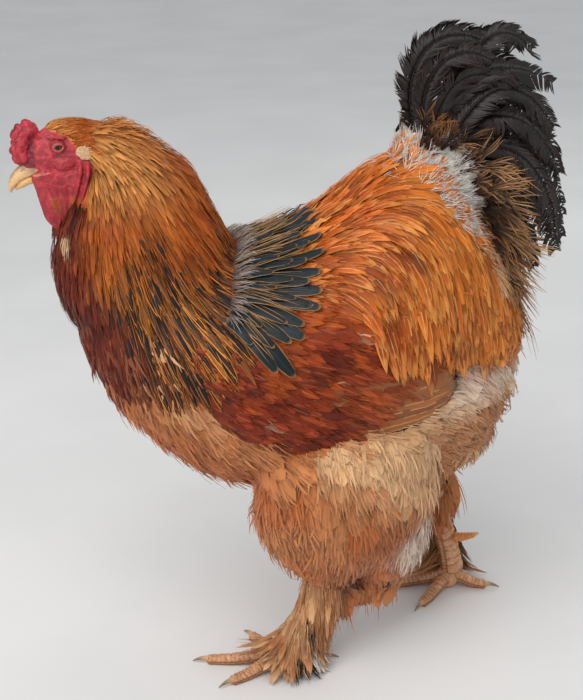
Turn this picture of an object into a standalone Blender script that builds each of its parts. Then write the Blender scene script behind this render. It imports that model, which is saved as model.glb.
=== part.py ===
"""A buff Brahma cock, standing: the solids of a life-size still model.

The bird faces -X, its left side is -Y, up is +Z, and it stands on z = 0.
Sizes are in metres. The origin is on the floor, under the middle of the bird's box.
"""
import math
import random

import bpy
import numpy as np

SEED = 5
GAP = 0.0003                    # left between two nodes that touch
VANE_THICK = 0.0009             # a feather's vane in the solids
LEFT = np.array([0.0, -1.0, 0.0])
UP = np.array([0.0, 0.0, 1.0])
SPINE_SAMPLES = 90              # places where a body's sections are worked out
CAP_SAMPLES = 10                # the same, over each rounded end

# Stations along a body: x, y, z of its middle, then half width, reach up or back, reach down or forward.
TORSO = [
    (-0.226, 0.0, 0.432, 0.048, 0.046, 0.034),
    (-0.202, 0.0, 0.424, 0.074, 0.072, 0.062),
    (-0.166, 0.0, 0.411, 0.098, 0.086, 0.098),
    (-0.125, 0.0, 0.401, 0.113, 0.092, 0.132),
    (-0.080, 0.0, 0.395, 0.122, 0.098, 0.160),
    (-0.025, 0.0, 0.392, 0.127, 0.112, 0.174),
    (0.035, 0.0, 0.392, 0.126, 0.146, 0.175),
    (0.085, 0.0, 0.392, 0.120, 0.182, 0.173),
    (0.128, 0.0, 0.391, 0.110, 0.189, 0.169),
    (0.170, 0.0, 0.389, 0.095, 0.149, 0.161),
    (0.205, 0.0, 0.387, 0.076, 0.084, 0.148),
    (0.228, 0.0, 0.385, 0.054, 0.040, 0.126),
]
TORSO_FRONT, TORSO_BACK = 0.013, 0.016
NECK = [
    (-0.226, 0.0, 0.613, 0.020, 0.022, 0.026),
    (-0.206, 0.0, 0.600, 0.036, 0.042, 0.040),
    (-0.192, 0.0, 0.565, 0.054, 0.072, 0.068),
    (-0.183, 0.0, 0.520, 0.070, 0.086, 0.086),
    (-0.170, 0.0, 0.475, 0.083, 0.090, 0.093),
    (-0.154, 0.0, 0.437, 0.090, 0.080, 0.080),
]
NECK_FRONT, NECK_BACK = 0.010, 0.030
HEAD = [
    (-0.288, 0.0, 0.601, 0.0100, 0.012, 0.012),
    (-0.275, 0.0, 0.606, 0.0155, 0.022, 0.020),
    (-0.257, 0.0, 0.611, 0.0195, 0.030, 0.026),
    (-0.238, 0.0, 0.612, 0.0215, 0.031, 0.032),
    (-0.218, 0.0, 0.606, 0.0235, 0.030, 0.034),
]
HEAD_FRONT, HEAD_BACK = 0.006, 0.012
THIGH_LEFT = [
    (0.020, -0.055, 0.310, 0.060, 0.110, 0.080),
    (0.026, -0.072, 0.262, 0.062, 0.112, 0.088),
    (0.028, -0.076, 0.212, 0.056, 0.100, 0.096),
    (0.018, -0.072, 0.168, 0.044, 0.066, 0.080),
    (0.008, -0.068, 0.136, 0.030, 0.036, 0.046),
]
THIGH_RIGHT = [
    (0.070, 0.050, 0.306, 0.060, 0.080, 0.090),
    (0.096, 0.066, 0.266, 0.060, 0.086, 0.092),
    (0.126, 0.071, 0.224, 0.050, 0.070, 0.074),
    (0.152, 0.070, 0.182, 0.038, 0.046, 0.050),
    (0.172, 0.067, 0.156, 0.026, 0.028, 0.032),
]
THIGH_TOP, THIGH_END = 0.030, 0.012
FLUFF = {
    "left": [
        (0.080, -0.040, 0.205, 0.056, 0.060, 0.050),
        (0.086, -0.046, 0.152, 0.048, 0.050, 0.044),
        (0.088, -0.048, 0.116, 0.032, 0.034, 0.032),
    ],
    "right": [
        (0.172, 0.034, 0.285, 0.056, 0.056, 0.060),
        (0.188, 0.036, 0.245, 0.052, 0.052, 0.050),
        (0.192, 0.040, 0.218, 0.036, 0.036, 0.034),
    ],
}
SHANK_LEFT = [
    (0.010, -0.067, 0.128, 0.0170, 0.0190, 0.0175),
    (0.002, -0.067, 0.100, 0.0140, 0.0150, 0.0145),
    (-0.016, -0.066, 0.058, 0.0125, 0.0130, 0.0125),
    (-0.030, -0.066, 0.026, 0.0150, 0.0150, 0.0150),
]
SHANK_RIGHT = [
    (0.178, 0.067, 0.146, 0.0160, 0.0180, 0.0170),
    (0.188, 0.067, 0.116, 0.0135, 0.0150, 0.0145),
    (0.204, 0.066, 0.064, 0.0125, 0.0130, 0.0125),
    (0.212, 0.065, 0.026, 0.0150, 0.0150, 0.0150),
]
SHANK_CAP = 0.008

# Toes: the angle from straight ahead, towards the bird's left, and the length to the claw's root.
FEET = {
    "left": {"middle": (-0.036, -0.066), "ahead": -14.0, "form": SHANK_LEFT},
    "right": {"middle": (0.207, 0.064), "ahead": -9.0, "form": SHANK_RIGHT},
}
TOES = {"middle": (0.0, 0.086), "inner": (52.0, 0.062), "outer": (-36.0, 0.068), "hind": (168.0, 0.046)}
TOE_THICK, TOE_TIP = 0.0085, 0.0058
CLAW_LENGTH, CLAW_THICK = 0.017, 0.0042
SPUR_PLACE, SPUR_TURN = 0.62, 35.0       # how far down the shank, and how far from its back to its inner side
SPUR_LENGTH, SPUR_THICK = 0.030, 0.0062
NOSTRIL_PLACE, NOSTRIL_SIZE = (-0.2930, 0.0088, 0.5935), (0.0034, 0.0018, 0.0014)

EYE_PLACE, EYE_RADIUS = (-0.2575, 0.0158, 0.6205), 0.0068
WING_FRONT, WING_TIP = -0.150, 0.148     # the folded wing's two ends along X
WING_MIDDLE, WING_HALF = 84.0, 34.0      # its middle line and half its height, in degrees round the torso
WING_DROP = 9.0                          # how far the middle line sinks from front to tip, in degrees
WING_THICK = 0.010
WING_BED = 0.0012                        # how far the free feathers stand off the torso
WING_SUNK = 0.0030                       # how deep the wing's shell reaches before the torso is cut from it

rng = random.Random(SEED)


def unit(v):
    v = np.asarray(v, float)
    return v / np.maximum(np.linalg.norm(v, axis=-1, keepdims=True), 1e-12)


def blend_rows(table, count):
    """A smooth curve through the rows of a table, read at count even places."""
    table = np.asarray(table, float)
    rows = np.vstack([2 * table[0] - table[1], table, 2 * table[-1] - table[-2]])
    place = np.linspace(0, len(table) - 1, count)
    k = np.minimum(place.astype(int), len(table) - 2)
    f = (place - k)[:, None]
    a, b, c, d = (rows[k + i] for i in range(4))
    return 0.5 * (2 * b + (c - a) * f + (2 * a - 5 * b + 4 * c - d) * f**2 + (3 * b - a - 3 * c + d) * f**3)


class Form:
    """A rounded body: oval sections along a bent spine. Angle 0 is its back, 90 its left, 180 its belly."""

    def __init__(self, stations, front, back, side=LEFT):
        rows = blend_rows(stations, SPINE_SAMPLES)
        centre, reach = rows[:, :3], rows[:, 3:]
        tangent = unit(np.gradient(centre, axis=0))
        turn = np.linspace(0.0, math.pi / 2, CAP_SAMPLES, endpoint=False)[:, None]
        self.centre = np.vstack([
            centre[0] - tangent[0] * front * np.cos(turn),
            centre,
            (centre[-1] + tangent[-1] * back * np.cos(turn))[::-1],
        ])
        self.reach = np.vstack([reach[0] * np.sin(turn), reach, (reach[-1] * np.sin(turn))[::-1]])
        self.tangent = np.vstack([
            np.repeat(tangent[:1], CAP_SAMPLES, 0),
            tangent,
            np.repeat(tangent[-1:], CAP_SAMPLES, 0),
        ])
        along = self.tangent @ side
        self.side = unit(side - along[:, None] * self.tangent)
        self.dorsal = np.cross(self.side, self.tangent)
        top = self.centre + self.dorsal * self.reach[:, 1:2]
        low = self.centre - self.dorsal * self.reach[:, 2:3]
        step = np.linalg.norm(np.diff(top, axis=0), axis=1) + np.linalg.norm(np.diff(low, axis=0), axis=1)
        self.place = np.concatenate([[0.0], np.cumsum(step)]) / step.sum()

    def read(self, array, u):
        u = np.atleast_1d(u)
        return np.stack([np.interp(u, self.place, array[:, i]) for i in range(array.shape[1])], -1)

    def point(self, u, angle, out=0.0):
        """Points of the surface at places u along it and angles in degrees, moved outwards by out."""
        turn = np.radians(np.atleast_1d(angle).astype(float))
        reach = self.read(self.reach, u)
        side, dorsal = unit(self.read(self.side, u)), unit(self.read(self.dorsal, u))
        high = np.where(np.cos(turn) >= 0, reach[:, 1], reach[:, 2])
        flat = side * (np.sin(turn) * reach[:, 0])[:, None] + dorsal * (np.cos(turn) * high)[:, None]
        normal = unit(
            side * (np.sin(turn) * high)[:, None] + dorsal * (np.cos(turn) * reach[:, 0])[:, None] + 1e-12
        )
        return self.read(self.centre, u) + flat + normal * np.reshape(out, (-1, 1))

    def at_x(self, x):
        """The place along the body whose middle has this x."""
        return np.interp(x, self.centre[:, 0], self.place)

    def locate(self, points):
        """For each point, its place along the body, its angle and how far outside the surface it is."""
        points = np.atleast_2d(points)
        away = np.linalg.norm(points[:, None, :] - self.centre[None], axis=2)
        k = away.argmin(axis=1)
        flat = points - self.centre[k]
        flat -= (flat * self.tangent[k]).sum(1, keepdims=True) * self.tangent[k]
        across, high = (flat * self.side[k]).sum(1), (flat * self.dorsal[k]).sum(1)
        reach = np.maximum(self.reach[k], 1e-6)
        tall = np.where(high >= 0, reach[:, 1], reach[:, 2])
        ratio = np.maximum(np.hypot(across / reach[:, 0], high / tall), 1e-6)
        size = np.hypot(across, high)
        inside = (k > 0) & (k < len(self.place) - 1)
        angle = np.degrees(np.arctan2(across / reach[:, 0], high / tall)) % 360
        return self.place[k], angle, np.where(inside, size * (1 - 1 / ratio), np.inf), flat / size[:, None]

    def settle(self, points, out):
        """Points moved to lie exactly out from the surface."""
        _, _, depth, away = self.locate(points)
        return points + away * np.where(np.isfinite(depth), out - depth, 0.0)[:, None]

    def clear(self, points, out):
        """Points moved outwards until they are at least out from the surface."""
        _, _, depth, away = self.locate(points)
        short = np.maximum(np.broadcast_to(out, depth.shape) - depth, 0.0)
        return points + away * np.where(np.isfinite(short), short, 0.0)[:, None]


torso = Form(TORSO, TORSO_FRONT, TORSO_BACK)
neck = Form(NECK, NECK_FRONT, NECK_BACK)
head = Form(HEAD, HEAD_FRONT, HEAD_BACK)


def wing_profile(x, angle):
    """How far the wing's shell stands off the torso at this x and this angle from the back."""
    angle = np.asarray(angle, float)
    angle = np.where(angle > 180, 360 - angle, angle)
    share = np.clip((x - WING_FRONT) / (WING_TIP - WING_FRONT), 0, 1)
    narrow = np.maximum(4 * share * (1 - share), 1e-9) ** 0.3
    place = (angle - WING_MIDDLE - WING_DROP * share) / (WING_HALF * narrow)
    return WING_THICK * narrow * np.sqrt(np.clip(1 - place**2, 0, 1))


def wing_cover(x, angle):
    """The same with its feathers, and with a margin round its edge, for what lies over it."""
    shells = [wing_profile(x + dx, angle + da) for dx in (-0.016, 0.0, 0.016) for da in (-9.0, 0.0, 9.0)]
    return WING_BED + 0.0050 + np.max(shells, axis=0)


def clear_body(points, out):
    """Points moved out of the neck, and out of the torso and the wings on it."""
    points = neck.clear(points, out)
    u, angle, _, _ = torso.locate(points)
    return torso.clear(points, out + wing_cover(np.atleast_2d(points)[:, 0], angle))


# Meshes

def new_object(name, vertices, faces, material=None):
    vertices, faces = np.asarray(vertices, float), [tuple(int(i) for i in f) for f in faces]
    mesh = bpy.data.meshes.new(name)
    mesh.from_pydata([tuple(v) for v in vertices], [], faces)
    mesh.update()
    obj = bpy.data.objects.new(name, mesh)
    bpy.context.scene.collection.objects.link(obj)
    if material:
        mesh.materials.append(material)
    return obj


def loft(name, rings, material=None, first=None, last=None):
    """A closed body through rings of like count. first and last are end points, or None for a flat end."""
    rings = np.asarray(rings, float)
    count, around = rings.shape[:2]
    vertices = list(rings.reshape(-1, 3))
    faces = []
    for i in range(count - 1):
        for j in range(around):
            k = (j + 1) % around
            a, b, c, d = i * around + j, i * around + k, (i + 1) * around + k, (i + 1) * around + j
            alike = j < around / 2          # both faces of a thin vane are split alike
            faces += [(a, b, c), (a, c, d)] if alike else [(a, b, d), (b, c, d)]
    for ring, tip, turned in ((0, first, True), (count - 1, last, False)):
        rim = [ring * around + j for j in range(around)]
        if tip is None:
            middle = rings[ring].mean(axis=0)
        else:
            middle = np.asarray(tip, float).reshape(3)
        vertices.append(middle)
        for j in range(around):
            pair = (rim[j], rim[(j + 1) % around])
            faces.append((pair[1], pair[0], len(vertices) - 1) if turned else (*pair, len(vertices) - 1))
    points = np.array(vertices)
    corners = points[np.array(faces)]
    if np.linalg.det(corners - points.mean(axis=0)).sum() < 0:
        faces = [f[::-1] for f in faces]
    return new_object(name, points, faces, material)


def form_object(name, form, rings, around, material=None, grow=0.0, start=0.0, end=1.0):
    """A body's mesh, with its rings spread evenly and its ends closed at points."""
    u = start + (end - start) * (0.5 - 0.5 * np.cos(np.linspace(0.06, 1.0 - 0.06, rings) * math.pi))
    u = 0.5 * u + 0.5 * np.linspace(start, end, rings + 2)[1:-1]
    angles = np.linspace(0, 360, around, endpoint=False)
    loops = [form.point(np.full(around, place), angles, grow) for place in u]
    first = form.point(start, 0)[0] - form.tangent[0] * grow
    last = form.point(end, 0)[0] + form.tangent[-1] * grow
    return loft(name, loops, material, first, last)


def vane(name, path, across, widths, thick=VANE_THICK, camber=0.0):
    """A feather: a thin plate along a path. across is the direction of its width at each point."""
    path, across = np.asarray(path, float), unit(across)
    along = unit(np.gradient(path, axis=0))
    up = unit(np.cross(across, along))
    half = np.asarray(widths, float)[:, None] / 2
    rise = up * camber * half
    if camber:
        columns = [path - across * half - rise, path, path + across * half - rise]
    else:
        columns = [path - across * half, path + across * half]
    lift = up * thick / 2
    lower, upper = [c - lift for c in columns], [c + lift for c in columns]
    return loft(name, np.stack(lower + upper[::-1], axis=1))


def blade(count, root, widest, tip, where=0.45):
    """Widths along a feather: from the root, to the widest at where, to the tip."""
    t = np.linspace(0, 1, count)
    rising = root + (widest - root) * np.sin(np.clip(t / where, 0, 1) * math.pi / 2)
    falling = tip + (widest - tip) * np.cos(np.clip((t - where) / (1 - where), 0, 1) * math.pi / 2)
    return np.where(t < where, rising, falling)


def torso_solid(name, grow=0.0, material=None):
    return form_object(name, torso, 17, 18, material, grow)


def ball(name, place, size, turn=(0, 0, 0), segments=14, rings=9, material=None):
    bpy.ops.mesh.primitive_uv_sphere_add(segments=segments, ring_count=rings, radius=1.0)
    obj = bpy.context.object
    obj.name = name
    obj.scale = size
    obj.rotation_euler = [math.radians(a) for a in turn]
    obj.location = place
    bpy.ops.object.transform_apply(location=True, rotation=True, scale=True)
    if material:
        obj.data.materials.append(material)
    return obj


def boolean(target, others, operation, solver="MANIFOLD"):
    """Joins or cuts target with closed mesh objects, and removes them."""
    others = [o for o in others if o]
    group = bpy.data.collections.new("boolean_pieces")
    bpy.context.scene.collection.children.link(group)
    for other in others:
        for holder in list(other.users_collection):
            holder.objects.unlink(other)
        group.objects.link(other)
    step = target.modifiers.new(operation.title(), "BOOLEAN")
    step.operation = operation
    step.operand_type = "COLLECTION"
    step.collection = group
    step.solver = solver
    bpy.context.view_layer.objects.active = target
    bpy.ops.object.modifier_apply(modifier=step.name)
    for other in others:
        bpy.data.objects.remove(other)
    bpy.data.collections.remove(group)
    return target


def keep_largest(obj):
    """Keeps the node's largest closed surface and drops what a cut left loose."""
    mesh = obj.data
    count = len(mesh.vertices)
    parent = list(range(count))

    def root(i):
        while parent[i] != i:
            parent[i] = parent[parent[i]]
            i = parent[i]
        return i

    for edge in mesh.edges:
        a, b = (root(i) for i in edge.vertices)
        parent[a] = b
    groups = np.array([root(i) for i in range(count)])
    spans = {}
    points = np.array([v.co for v in mesh.vertices])
    for label in np.unique(groups):
        own = points[groups == label]
        spans[label] = np.prod(own.max(0) - own.min(0) + 1e-6)
    best = max(spans, key=spans.get)
    if len(spans) == 1:
        return obj
    index = {old: new for new, old in enumerate(np.flatnonzero(groups == best))}
    faces = [tuple(index[i] for i in f.vertices) for f in mesh.polygons if f.vertices[0] in index]
    material = mesh.materials[0] if mesh.materials else None
    name = obj.name
    bpy.data.objects.remove(obj)
    return new_object(name, points[groups == best], faces, material)


def material(name, colour, roughness=0.8, metallic=0.0):
    made = bpy.data.materials.new(name)
    made.use_nodes = True
    shader = made.node_tree.nodes["Principled BSDF"]
    shader.inputs["Base Color"].default_value = (*colour, 1.0)
    shader.inputs["Roughness"].default_value = roughness
    shader.inputs["Metallic"].default_value = metallic
    return made


# Feathers

def march(roots, headings, lengths, steps, lifts, hold):
    """Feather paths over the body: each step goes ahead, and is then held off the body by its lift."""
    point, ahead = np.array(roots, float), unit(headings)
    path = [point.copy()]
    for i in range(1, steps + 1):
        target = clear_body(point + ahead * (np.asarray(lengths)[:, None] / steps), lifts[i])
        _, _, neck_depth, neck_away = neck.locate(target)
        _, angle, torso_depth, torso_away = torso.locate(target)
        over_neck = neck_depth - lifts[i]
        over_torso = torso_depth - lifts[i] - wing_cover(target[:, 0], angle)
        away = np.where((over_neck < over_torso)[:, None], neck_away, torso_away)
        loose = np.minimum(over_neck, over_torso)
        target = target - away * np.clip(np.where(np.isfinite(loose), loose, 0.0), 0.0, hold)[:, None]
        ahead = unit(0.5 * unit(target - point) + 0.5 * ahead)
        point = target
        path.append(point.copy())
    return np.stack(path, axis=1)


def body_normal(points):
    """The direction away from the body at each point."""
    _, _, neck_depth, neck_away = neck.locate(points)
    _, _, torso_depth, torso_away = torso.locate(points)
    near = np.where(neck_depth < torso_depth, 1.0, 0.0)[:, None]
    return unit(neck_away * near + torso_away * (1 - near))


def body_vanes(name, paths, widest, tip=0.10, where=0.4, skin=clear_body, lifts=None):
    """Vanes along paths on the body, each side edge held off it as its middle is."""
    made = []
    for n, path in enumerate(paths):
        count = len(path)
        along = unit(np.gradient(path, axis=0))
        across = unit(np.cross(along, body_normal(path)))
        widths = blade(count, widest[n] * 0.55, widest[n], widest[n] * tip, where)
        half = across * widths[:, None] / 2
        left, right = skin(path - half, lifts), skin(path + half, lifts)
        left[0], right[0] = (path - half)[0], (path + half)[0]
        up = unit(np.cross(right - left, along)) * VANE_THICK / 2
        rings = np.stack([left - up, right - up, right + up, left + up], axis=1)
        made.append(loft(f"{name}_{n}", rings))
    return made


HACKLE_TIERS = [
    # place along the neck, first and last angle from the back, count a side, length, width
    (0.16, 18.0, 112.0, 3, 0.080, 0.025),
    (0.30, 14.0, 138.0, 4, 0.098, 0.031),
    (0.46, 20.0, 150.0, 4, 0.114, 0.035),
    (0.64, 14.0, 142.0, 5, 0.126, 0.036),
]
HACKLE_LIFTS = [-0.004, 0.0016, 0.0024, 0.0030, 0.0036]
CAPE_COUNT, CAPE_LENGTH, CAPE_WIDTH = 4, 0.082, 0.024


def hackle():
    """Long pointed neck feathers in tiers on both sides, and the broad cape feathers under them."""
    pieces = []
    for tier, (u, first, last, count, length, width) in enumerate(HACKLE_TIERS):
        steps = 3 if tier < 2 else 4
        for side in (1, -1):
            angle = np.linspace(first, last, count) + np.array([rng.uniform(-2, 2) for _ in range(count)])
            place = np.full(count, u) + np.array([rng.uniform(-0.02, 0.02) for _ in range(count)])
            roots = neck.point(place, side * angle, HACKLE_LIFTS[0])
            ahead = neck.point(place + 0.05, side * angle) - neck.point(place, side * angle)
            outward = neck.point(place, side * angle, 0.01) - neck.point(place, side * angle)
            heading = unit(unit(ahead) + 0.1 * unit(outward) + np.array([0.10, 0.0, -0.25]))
            long = length * (1.0 - 0.28 * (angle / 140.0) ** 2)
            long *= 1.0 - 0.45 * np.clip((75.0 - angle) / 60.0, 0, 1) * (tier / 3)
            for odd in (0, 1):              # neighbours lie at two heights, so that they overlap
                pick = np.arange(odd, count, 2)
                layer = 0.0024 * (len(HACKLE_TIERS) - 1 - tier) + 0.0012 * odd
                lifts = np.array(HACKLE_LIFTS[:steps + 1]) + layer
                lifts[0] = HACKLE_LIFTS[0]
                paths = march(roots[pick], heading[pick], long[pick], steps, lifts, 0.012)
                wide = np.full(len(pick), width)
                pieces += body_vanes(f"hackle_{tier}_{side}_{odd}", paths, wide, lifts=lifts)
    return pieces


def torso_vane(name, side, xs, angles, height, width, tip, where, root=-0.005):
    """A vane along a line on the torso, sunk in at its root and then held at height(x, angle)."""
    sunk = np.arange(len(xs)) == 0
    u = torso.at_x(xs)
    path = torso.point(u, side * angles, np.where(sunk, root, height(xs, angles)))
    normal = unit(torso.point(u, side * angles, 0.05) - torso.point(u, side * angles))
    along = unit(np.gradient(path, axis=0))
    widths = blade(len(path), width * 0.6, width, width * tip, where)
    half = unit(np.cross(along, normal)) * widths[:, None] / 2
    edges = []
    for edge in (path - half, path + half):
        _, angle, _, _ = torso.locate(edge)
        edges.append(torso.settle(edge, np.where(sunk, root, height(edge[:, 0], angle))))
    up = unit(np.cross(edges[1] - edges[0], along)) * VANE_THICK / 2
    return loft(name, np.stack([edges[0] - up, edges[1] - up, edges[1] + up, edges[0] + up], axis=1))


def cape():
    """The broad feathers between the shoulders, just behind the neck."""
    pieces = []
    t = np.linspace(0, 1, 4)
    for side in (1, -1):
        for n in range(CAPE_COUNT):
            share = n / (CAPE_COUNT - 1)
            xs = -0.070 + CAPE_LENGTH * (1 - 0.12 * share) * t
            angles = 10.0 + 33.0 * share + (5.0 + 24.0 * share) * t
            layer = 0.0016 * (n % 2) - 0.0012
            pieces.append(torso_vane(
                f"cape_{side}_{n}", side, xs, angles, lambda x, a: wing_cover(x, a) + layer,
                CAPE_WIDTH, 0.35, 0.65))
    return pieces


SADDLE_TIERS = [
    # first and last x of the roots, angle of the roots, first and last angle of the tips,
    # first and last run along X, count a side, width
    (0.010, 0.156, 31.0, 72.0, 94.0, 0.078, 0.032, 5, 0.026),
    (-0.008, 0.104, 18.0, 50.0, 72.0, 0.086, 0.050, 4, 0.028),
    (-0.020, 0.066, 6.0, 28.0, 42.0, 0.088, 0.048, 3, 0.028),
]


def saddle():
    """The saddle's drooping feathers, which hang over the wing on both sides."""
    pieces = []
    t = np.array([0.0, 0.24, 0.60, 1.0])
    for tier, (first, last, root, low0, low1, run0, run1, count, width) in enumerate(SADDLE_TIERS):
        for side in (1, -1):
            for n in range(count):
                share = n / (count - 1) + rng.uniform(-0.02, 0.02)
                xs = first + (last - first) * share + (run0 + (run1 - run0) * share) * np.sin(t * math.pi / 2)
                angles = root + (low0 + (low1 - low0) * share - root) * t**1.25
                layer = 0.0030 * tier + 0.0016 * (n % 2)
                pieces.append(torso_vane(
                    f"saddle_{tier}_{side}_{n}", side, xs, angles, lambda x, a: wing_cover(x, a) + layer,
                    width, 0.15, 0.4))
    return pieces


FLIGHT_TIERS = [
    # x and angle of the lowest root, of the highest root, x and angle of their tips, count, width
    ((-0.045, 109.0), (-0.030, 72.0), (0.104, 106.0), (0.112, 78.0), 4, 0.038),
    ((-0.095, 108.0), (-0.080, 66.0), (-0.015, 108.0), (0.000, 72.0), 3, 0.042),
    ((-0.124, 98.0), (-0.118, 72.0), (-0.062, 102.0), (-0.054, 76.0), 2, 0.040),
]


def wing(side, colour):
    """A folded wing: a shell on the torso's side, with tiers of coverts and its flight feathers."""
    around = 10
    turn = np.linspace(0, 2 * math.pi, around, endpoint=False)
    loops = []
    for share in np.linspace(0.03, 0.97, 9):
        x = np.full(around, WING_FRONT + (WING_TIP - WING_FRONT) * share)
        narrow = (4 * share * (1 - share)) ** 0.3
        angles = WING_MIDDLE + WING_DROP * share + WING_HALF * narrow * np.cos(turn)
        out = np.where(np.sin(turn) > 0.01, WING_BED + wing_profile(x, angles), -WING_SUNK)
        loops.append(torso.point(torso.at_x(x), side * angles, out))
    core = loft("wing_left" if side > 0 else "wing_right", loops, colour)
    pieces = []
    t = np.linspace(0, 1, 4)
    for tier, (low, high, low_tip, high_tip, count, width) in enumerate(FLIGHT_TIERS):
        for n in range(count):
            share = n / (count - 1)
            (x, angle), (tip_x, tip_angle) = (
                (a[0] + (b[0] - a[0]) * share, a[1] + (b[1] - a[1]) * share)
                for a, b in ((low, high), (low_tip, high_tip)))
            if tier == 0:
                tip_x += 0.046 * math.sin(math.pi * share)
            xs, angles = x + (tip_x - x) * t, angle + (tip_angle - angle) * t
            layer = WING_BED + 0.0012 + 0.0014 * (n % 2)
            pieces.append(torso_vane(
                f"flight_{side}_{tier}_{n}", side, xs, angles, lambda x, a: wing_profile(x, a) + layer,
                width, 0.5, 0.6, WING_BED))
    return boolean(core, pieces, "UNION")


def tail_feather(name, side, root, control, end, width, steps=5):
    """A free feather along an arc from its root to its end. Points give x, the way out to its side, z."""
    t = np.linspace(0, 1, steps + 1)[:, None]
    path = np.array(root) * (1 - t) ** 2 + 2 * np.array(control) * t * (1 - t) + np.array(end) * t**2
    path[:, 1] *= -side
    along = unit(np.gradient(path, axis=0))
    across = unit(np.cross(along, (0.0, -1.0, 0.22 * side)))
    widths = blade(steps + 1, width * 0.42, width, width * 0.28, 0.55)
    return vane(name, path, across, widths)


TAIL_CORE = [
    (0.116, 0.0, 0.572, 0.028, 0.032, 0.040),
    (0.134, 0.0, 0.574, 0.036, 0.046, 0.054),
    (0.158, 0.0, 0.574, 0.038, 0.044, 0.076),
    (0.184, 0.0, 0.572, 0.031, 0.022, 0.094),
    (0.200, 0.0, 0.570, 0.019, 0.006, 0.080),
]
MAIN_FEATHERS, SICKLES, TAIL_COVERTS = 4, 4, 4


def tail(colour):
    """The tail: main feathers in a tall fan, sickles arched over them, and coverts at their roots."""
    core_form = Form(TAIL_CORE, 0.010, 0.010)
    core = form_object("tail", core_form, 7, 10, colour)
    pieces = []
    for side in (1, -1):
        for n in range(MAIN_FEATHERS):
            s = n / (MAIN_FEATHERS - 1)
            turn = math.radians(92 - 84 * s)
            reach = 0.108 + 0.032 * math.sin(math.pi * min(0.25 + 0.75 * s, 1.0))
            root = (0.138 + 0.022 * s, 0.003 + 0.016 * s, 0.590 - 0.012 * s)
            end = (0.150 + reach * math.cos(turn), 0.010 + 0.046 * s, 0.590 + reach * math.sin(turn))
            control = (root[0] + 0.030 * s - 0.012, 0.008 + 0.030 * s, 0.655 - 0.020 * s)
            pieces.append(tail_feather(f"main_{side}_{n}", side, root, control, end, 0.052, 3))
        for n in range(SICKLES):
            s = n / (SICKLES - 1)
            root = (0.150 + 0.010 * s, 0.012 + 0.012 * s, 0.596)
            control = (0.172 + 0.096 * s, 0.030 + 0.022 * s, 0.750 - 0.066 * s)
            end = (0.234 + 0.064 * s, 0.034 + 0.012 * s, 0.690 - 0.216 * s)
            pieces.append(tail_feather(f"sickle_{side}_{n}", side, root, control, end, 0.038, 4))
        for n in range(TAIL_COVERTS):
            s = n / (TAIL_COVERTS - 1)
            root = (0.164 + 0.022 * s, 0.026 - 0.014 * s, 0.585 - 0.070 * s)
            control = (0.236 + 0.018 * s, 0.052 + 0.004 * s, 0.650 - 0.170 * s)
            end = (0.272 - 0.014 * s, 0.064 - 0.012 * s, 0.575 - 0.182 * s)
            pieces.append(tail_feather(f"covert_{side}_{n}", side, root, control, end, 0.042, 4))
    return boolean(core, pieces, "UNION")


# The middle row's beads from the beak up, and then each row's offset, step back from that line, size and count.
COMB_LINE = [(-0.2970, 0.6050), (-0.2990, 0.6185), (-0.2962, 0.6320), (-0.2866, 0.6412)]
COMB_ROWS = [(0.0, 0.0, 0.0080, 4), (0.0080, 0.0056, 0.0072, 3), (-0.0080, 0.0056, 0.0072, 3)]


def comb(colour):
    """A pea comb: three rows of beads up the forehead, the middle row the tallest."""
    base = ball("comb", (-0.2885, 0.0, 0.621), (0.0110, 0.0085, 0.024), (0, 22, 0), 8, 6, colour)
    line = np.array(COMB_LINE)
    pieces = []
    for row, (offset, back, size, count) in enumerate(COMB_ROWS):
        for n in range(count):
            share = (n + 0.5 * (4 - count)) / 3
            x, z = (np.interp(share * 3, range(4), line[:, i]) for i in range(2))
            x, z = x + back * (1 - 0.4 * share), z - back * 0.9 * share
            big = size * (1.0 + 0.12 * math.sin(2.3 * n + row))
            place = (x, offset * (1 - 0.2 * share), z)
            pieces.append(ball(f"bead_{row}_{n}", place, (big * 1.15, big * 0.8, big), (0, 30, 0), 5, 4))
    return boolean(base, pieces, "UNION")


def wattle(side, colour, grow=0.0):
    name = "wattle_left" if side > 0 else "wattle_right"
    y = -side * 0.010
    form = Form([
        (-0.278, y, 0.588, 0.0050, 0.018, 0.008),
        (-0.266, y * 1.15, 0.569, 0.0056, 0.028, 0.015),
        (-0.258, y * 1.25, 0.550, 0.0054, 0.026, 0.018),
        (-0.253, y * 1.20, 0.534, 0.0042, 0.016, 0.013),
    ], 0.006, 0.007)
    return form_object(name, form, 6, 8, colour, grow)


def lobe(side, colour, grow=0.0):
    name = "lobe_left" if side > 0 else "lobe_right"
    y = -side * 0.0215
    form = Form([
        (-0.233, y, 0.606, 0.0035, 0.005, 0.005),
        (-0.231, y * 1.06, 0.592, 0.0045, 0.0075, 0.0065),
        (-0.229, y * 1.08, 0.576, 0.0040, 0.0065, 0.0060),
    ], 0.004, 0.006)
    return form_object(name, form, 4, 7, colour, grow)


BEAK_UPPER = [
    (-0.3075, 0.0, 0.5715, 0.0012, 0.0014, 0.0012),
    (-0.3055, 0.0, 0.5785, 0.0044, 0.0046, 0.0022),
    (-0.2975, 0.0, 0.5865, 0.0070, 0.0088, 0.0028),
    (-0.2860, 0.0, 0.5912, 0.0092, 0.0120, 0.0032),
    (-0.2740, 0.0, 0.5945, 0.0100, 0.0110, 0.0032),
]
BEAK_LOWER = [
    (-0.3020, 0.0, 0.5745, 0.0018, 0.0022, 0.0020),
    (-0.2965, 0.0, 0.5790, 0.0046, 0.0050, 0.0044),
    (-0.2885, 0.0, 0.5835, 0.0072, 0.0055, 0.0054),
    (-0.2740, 0.0, 0.5870, 0.0086, 0.0050, 0.0056),
]


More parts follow.
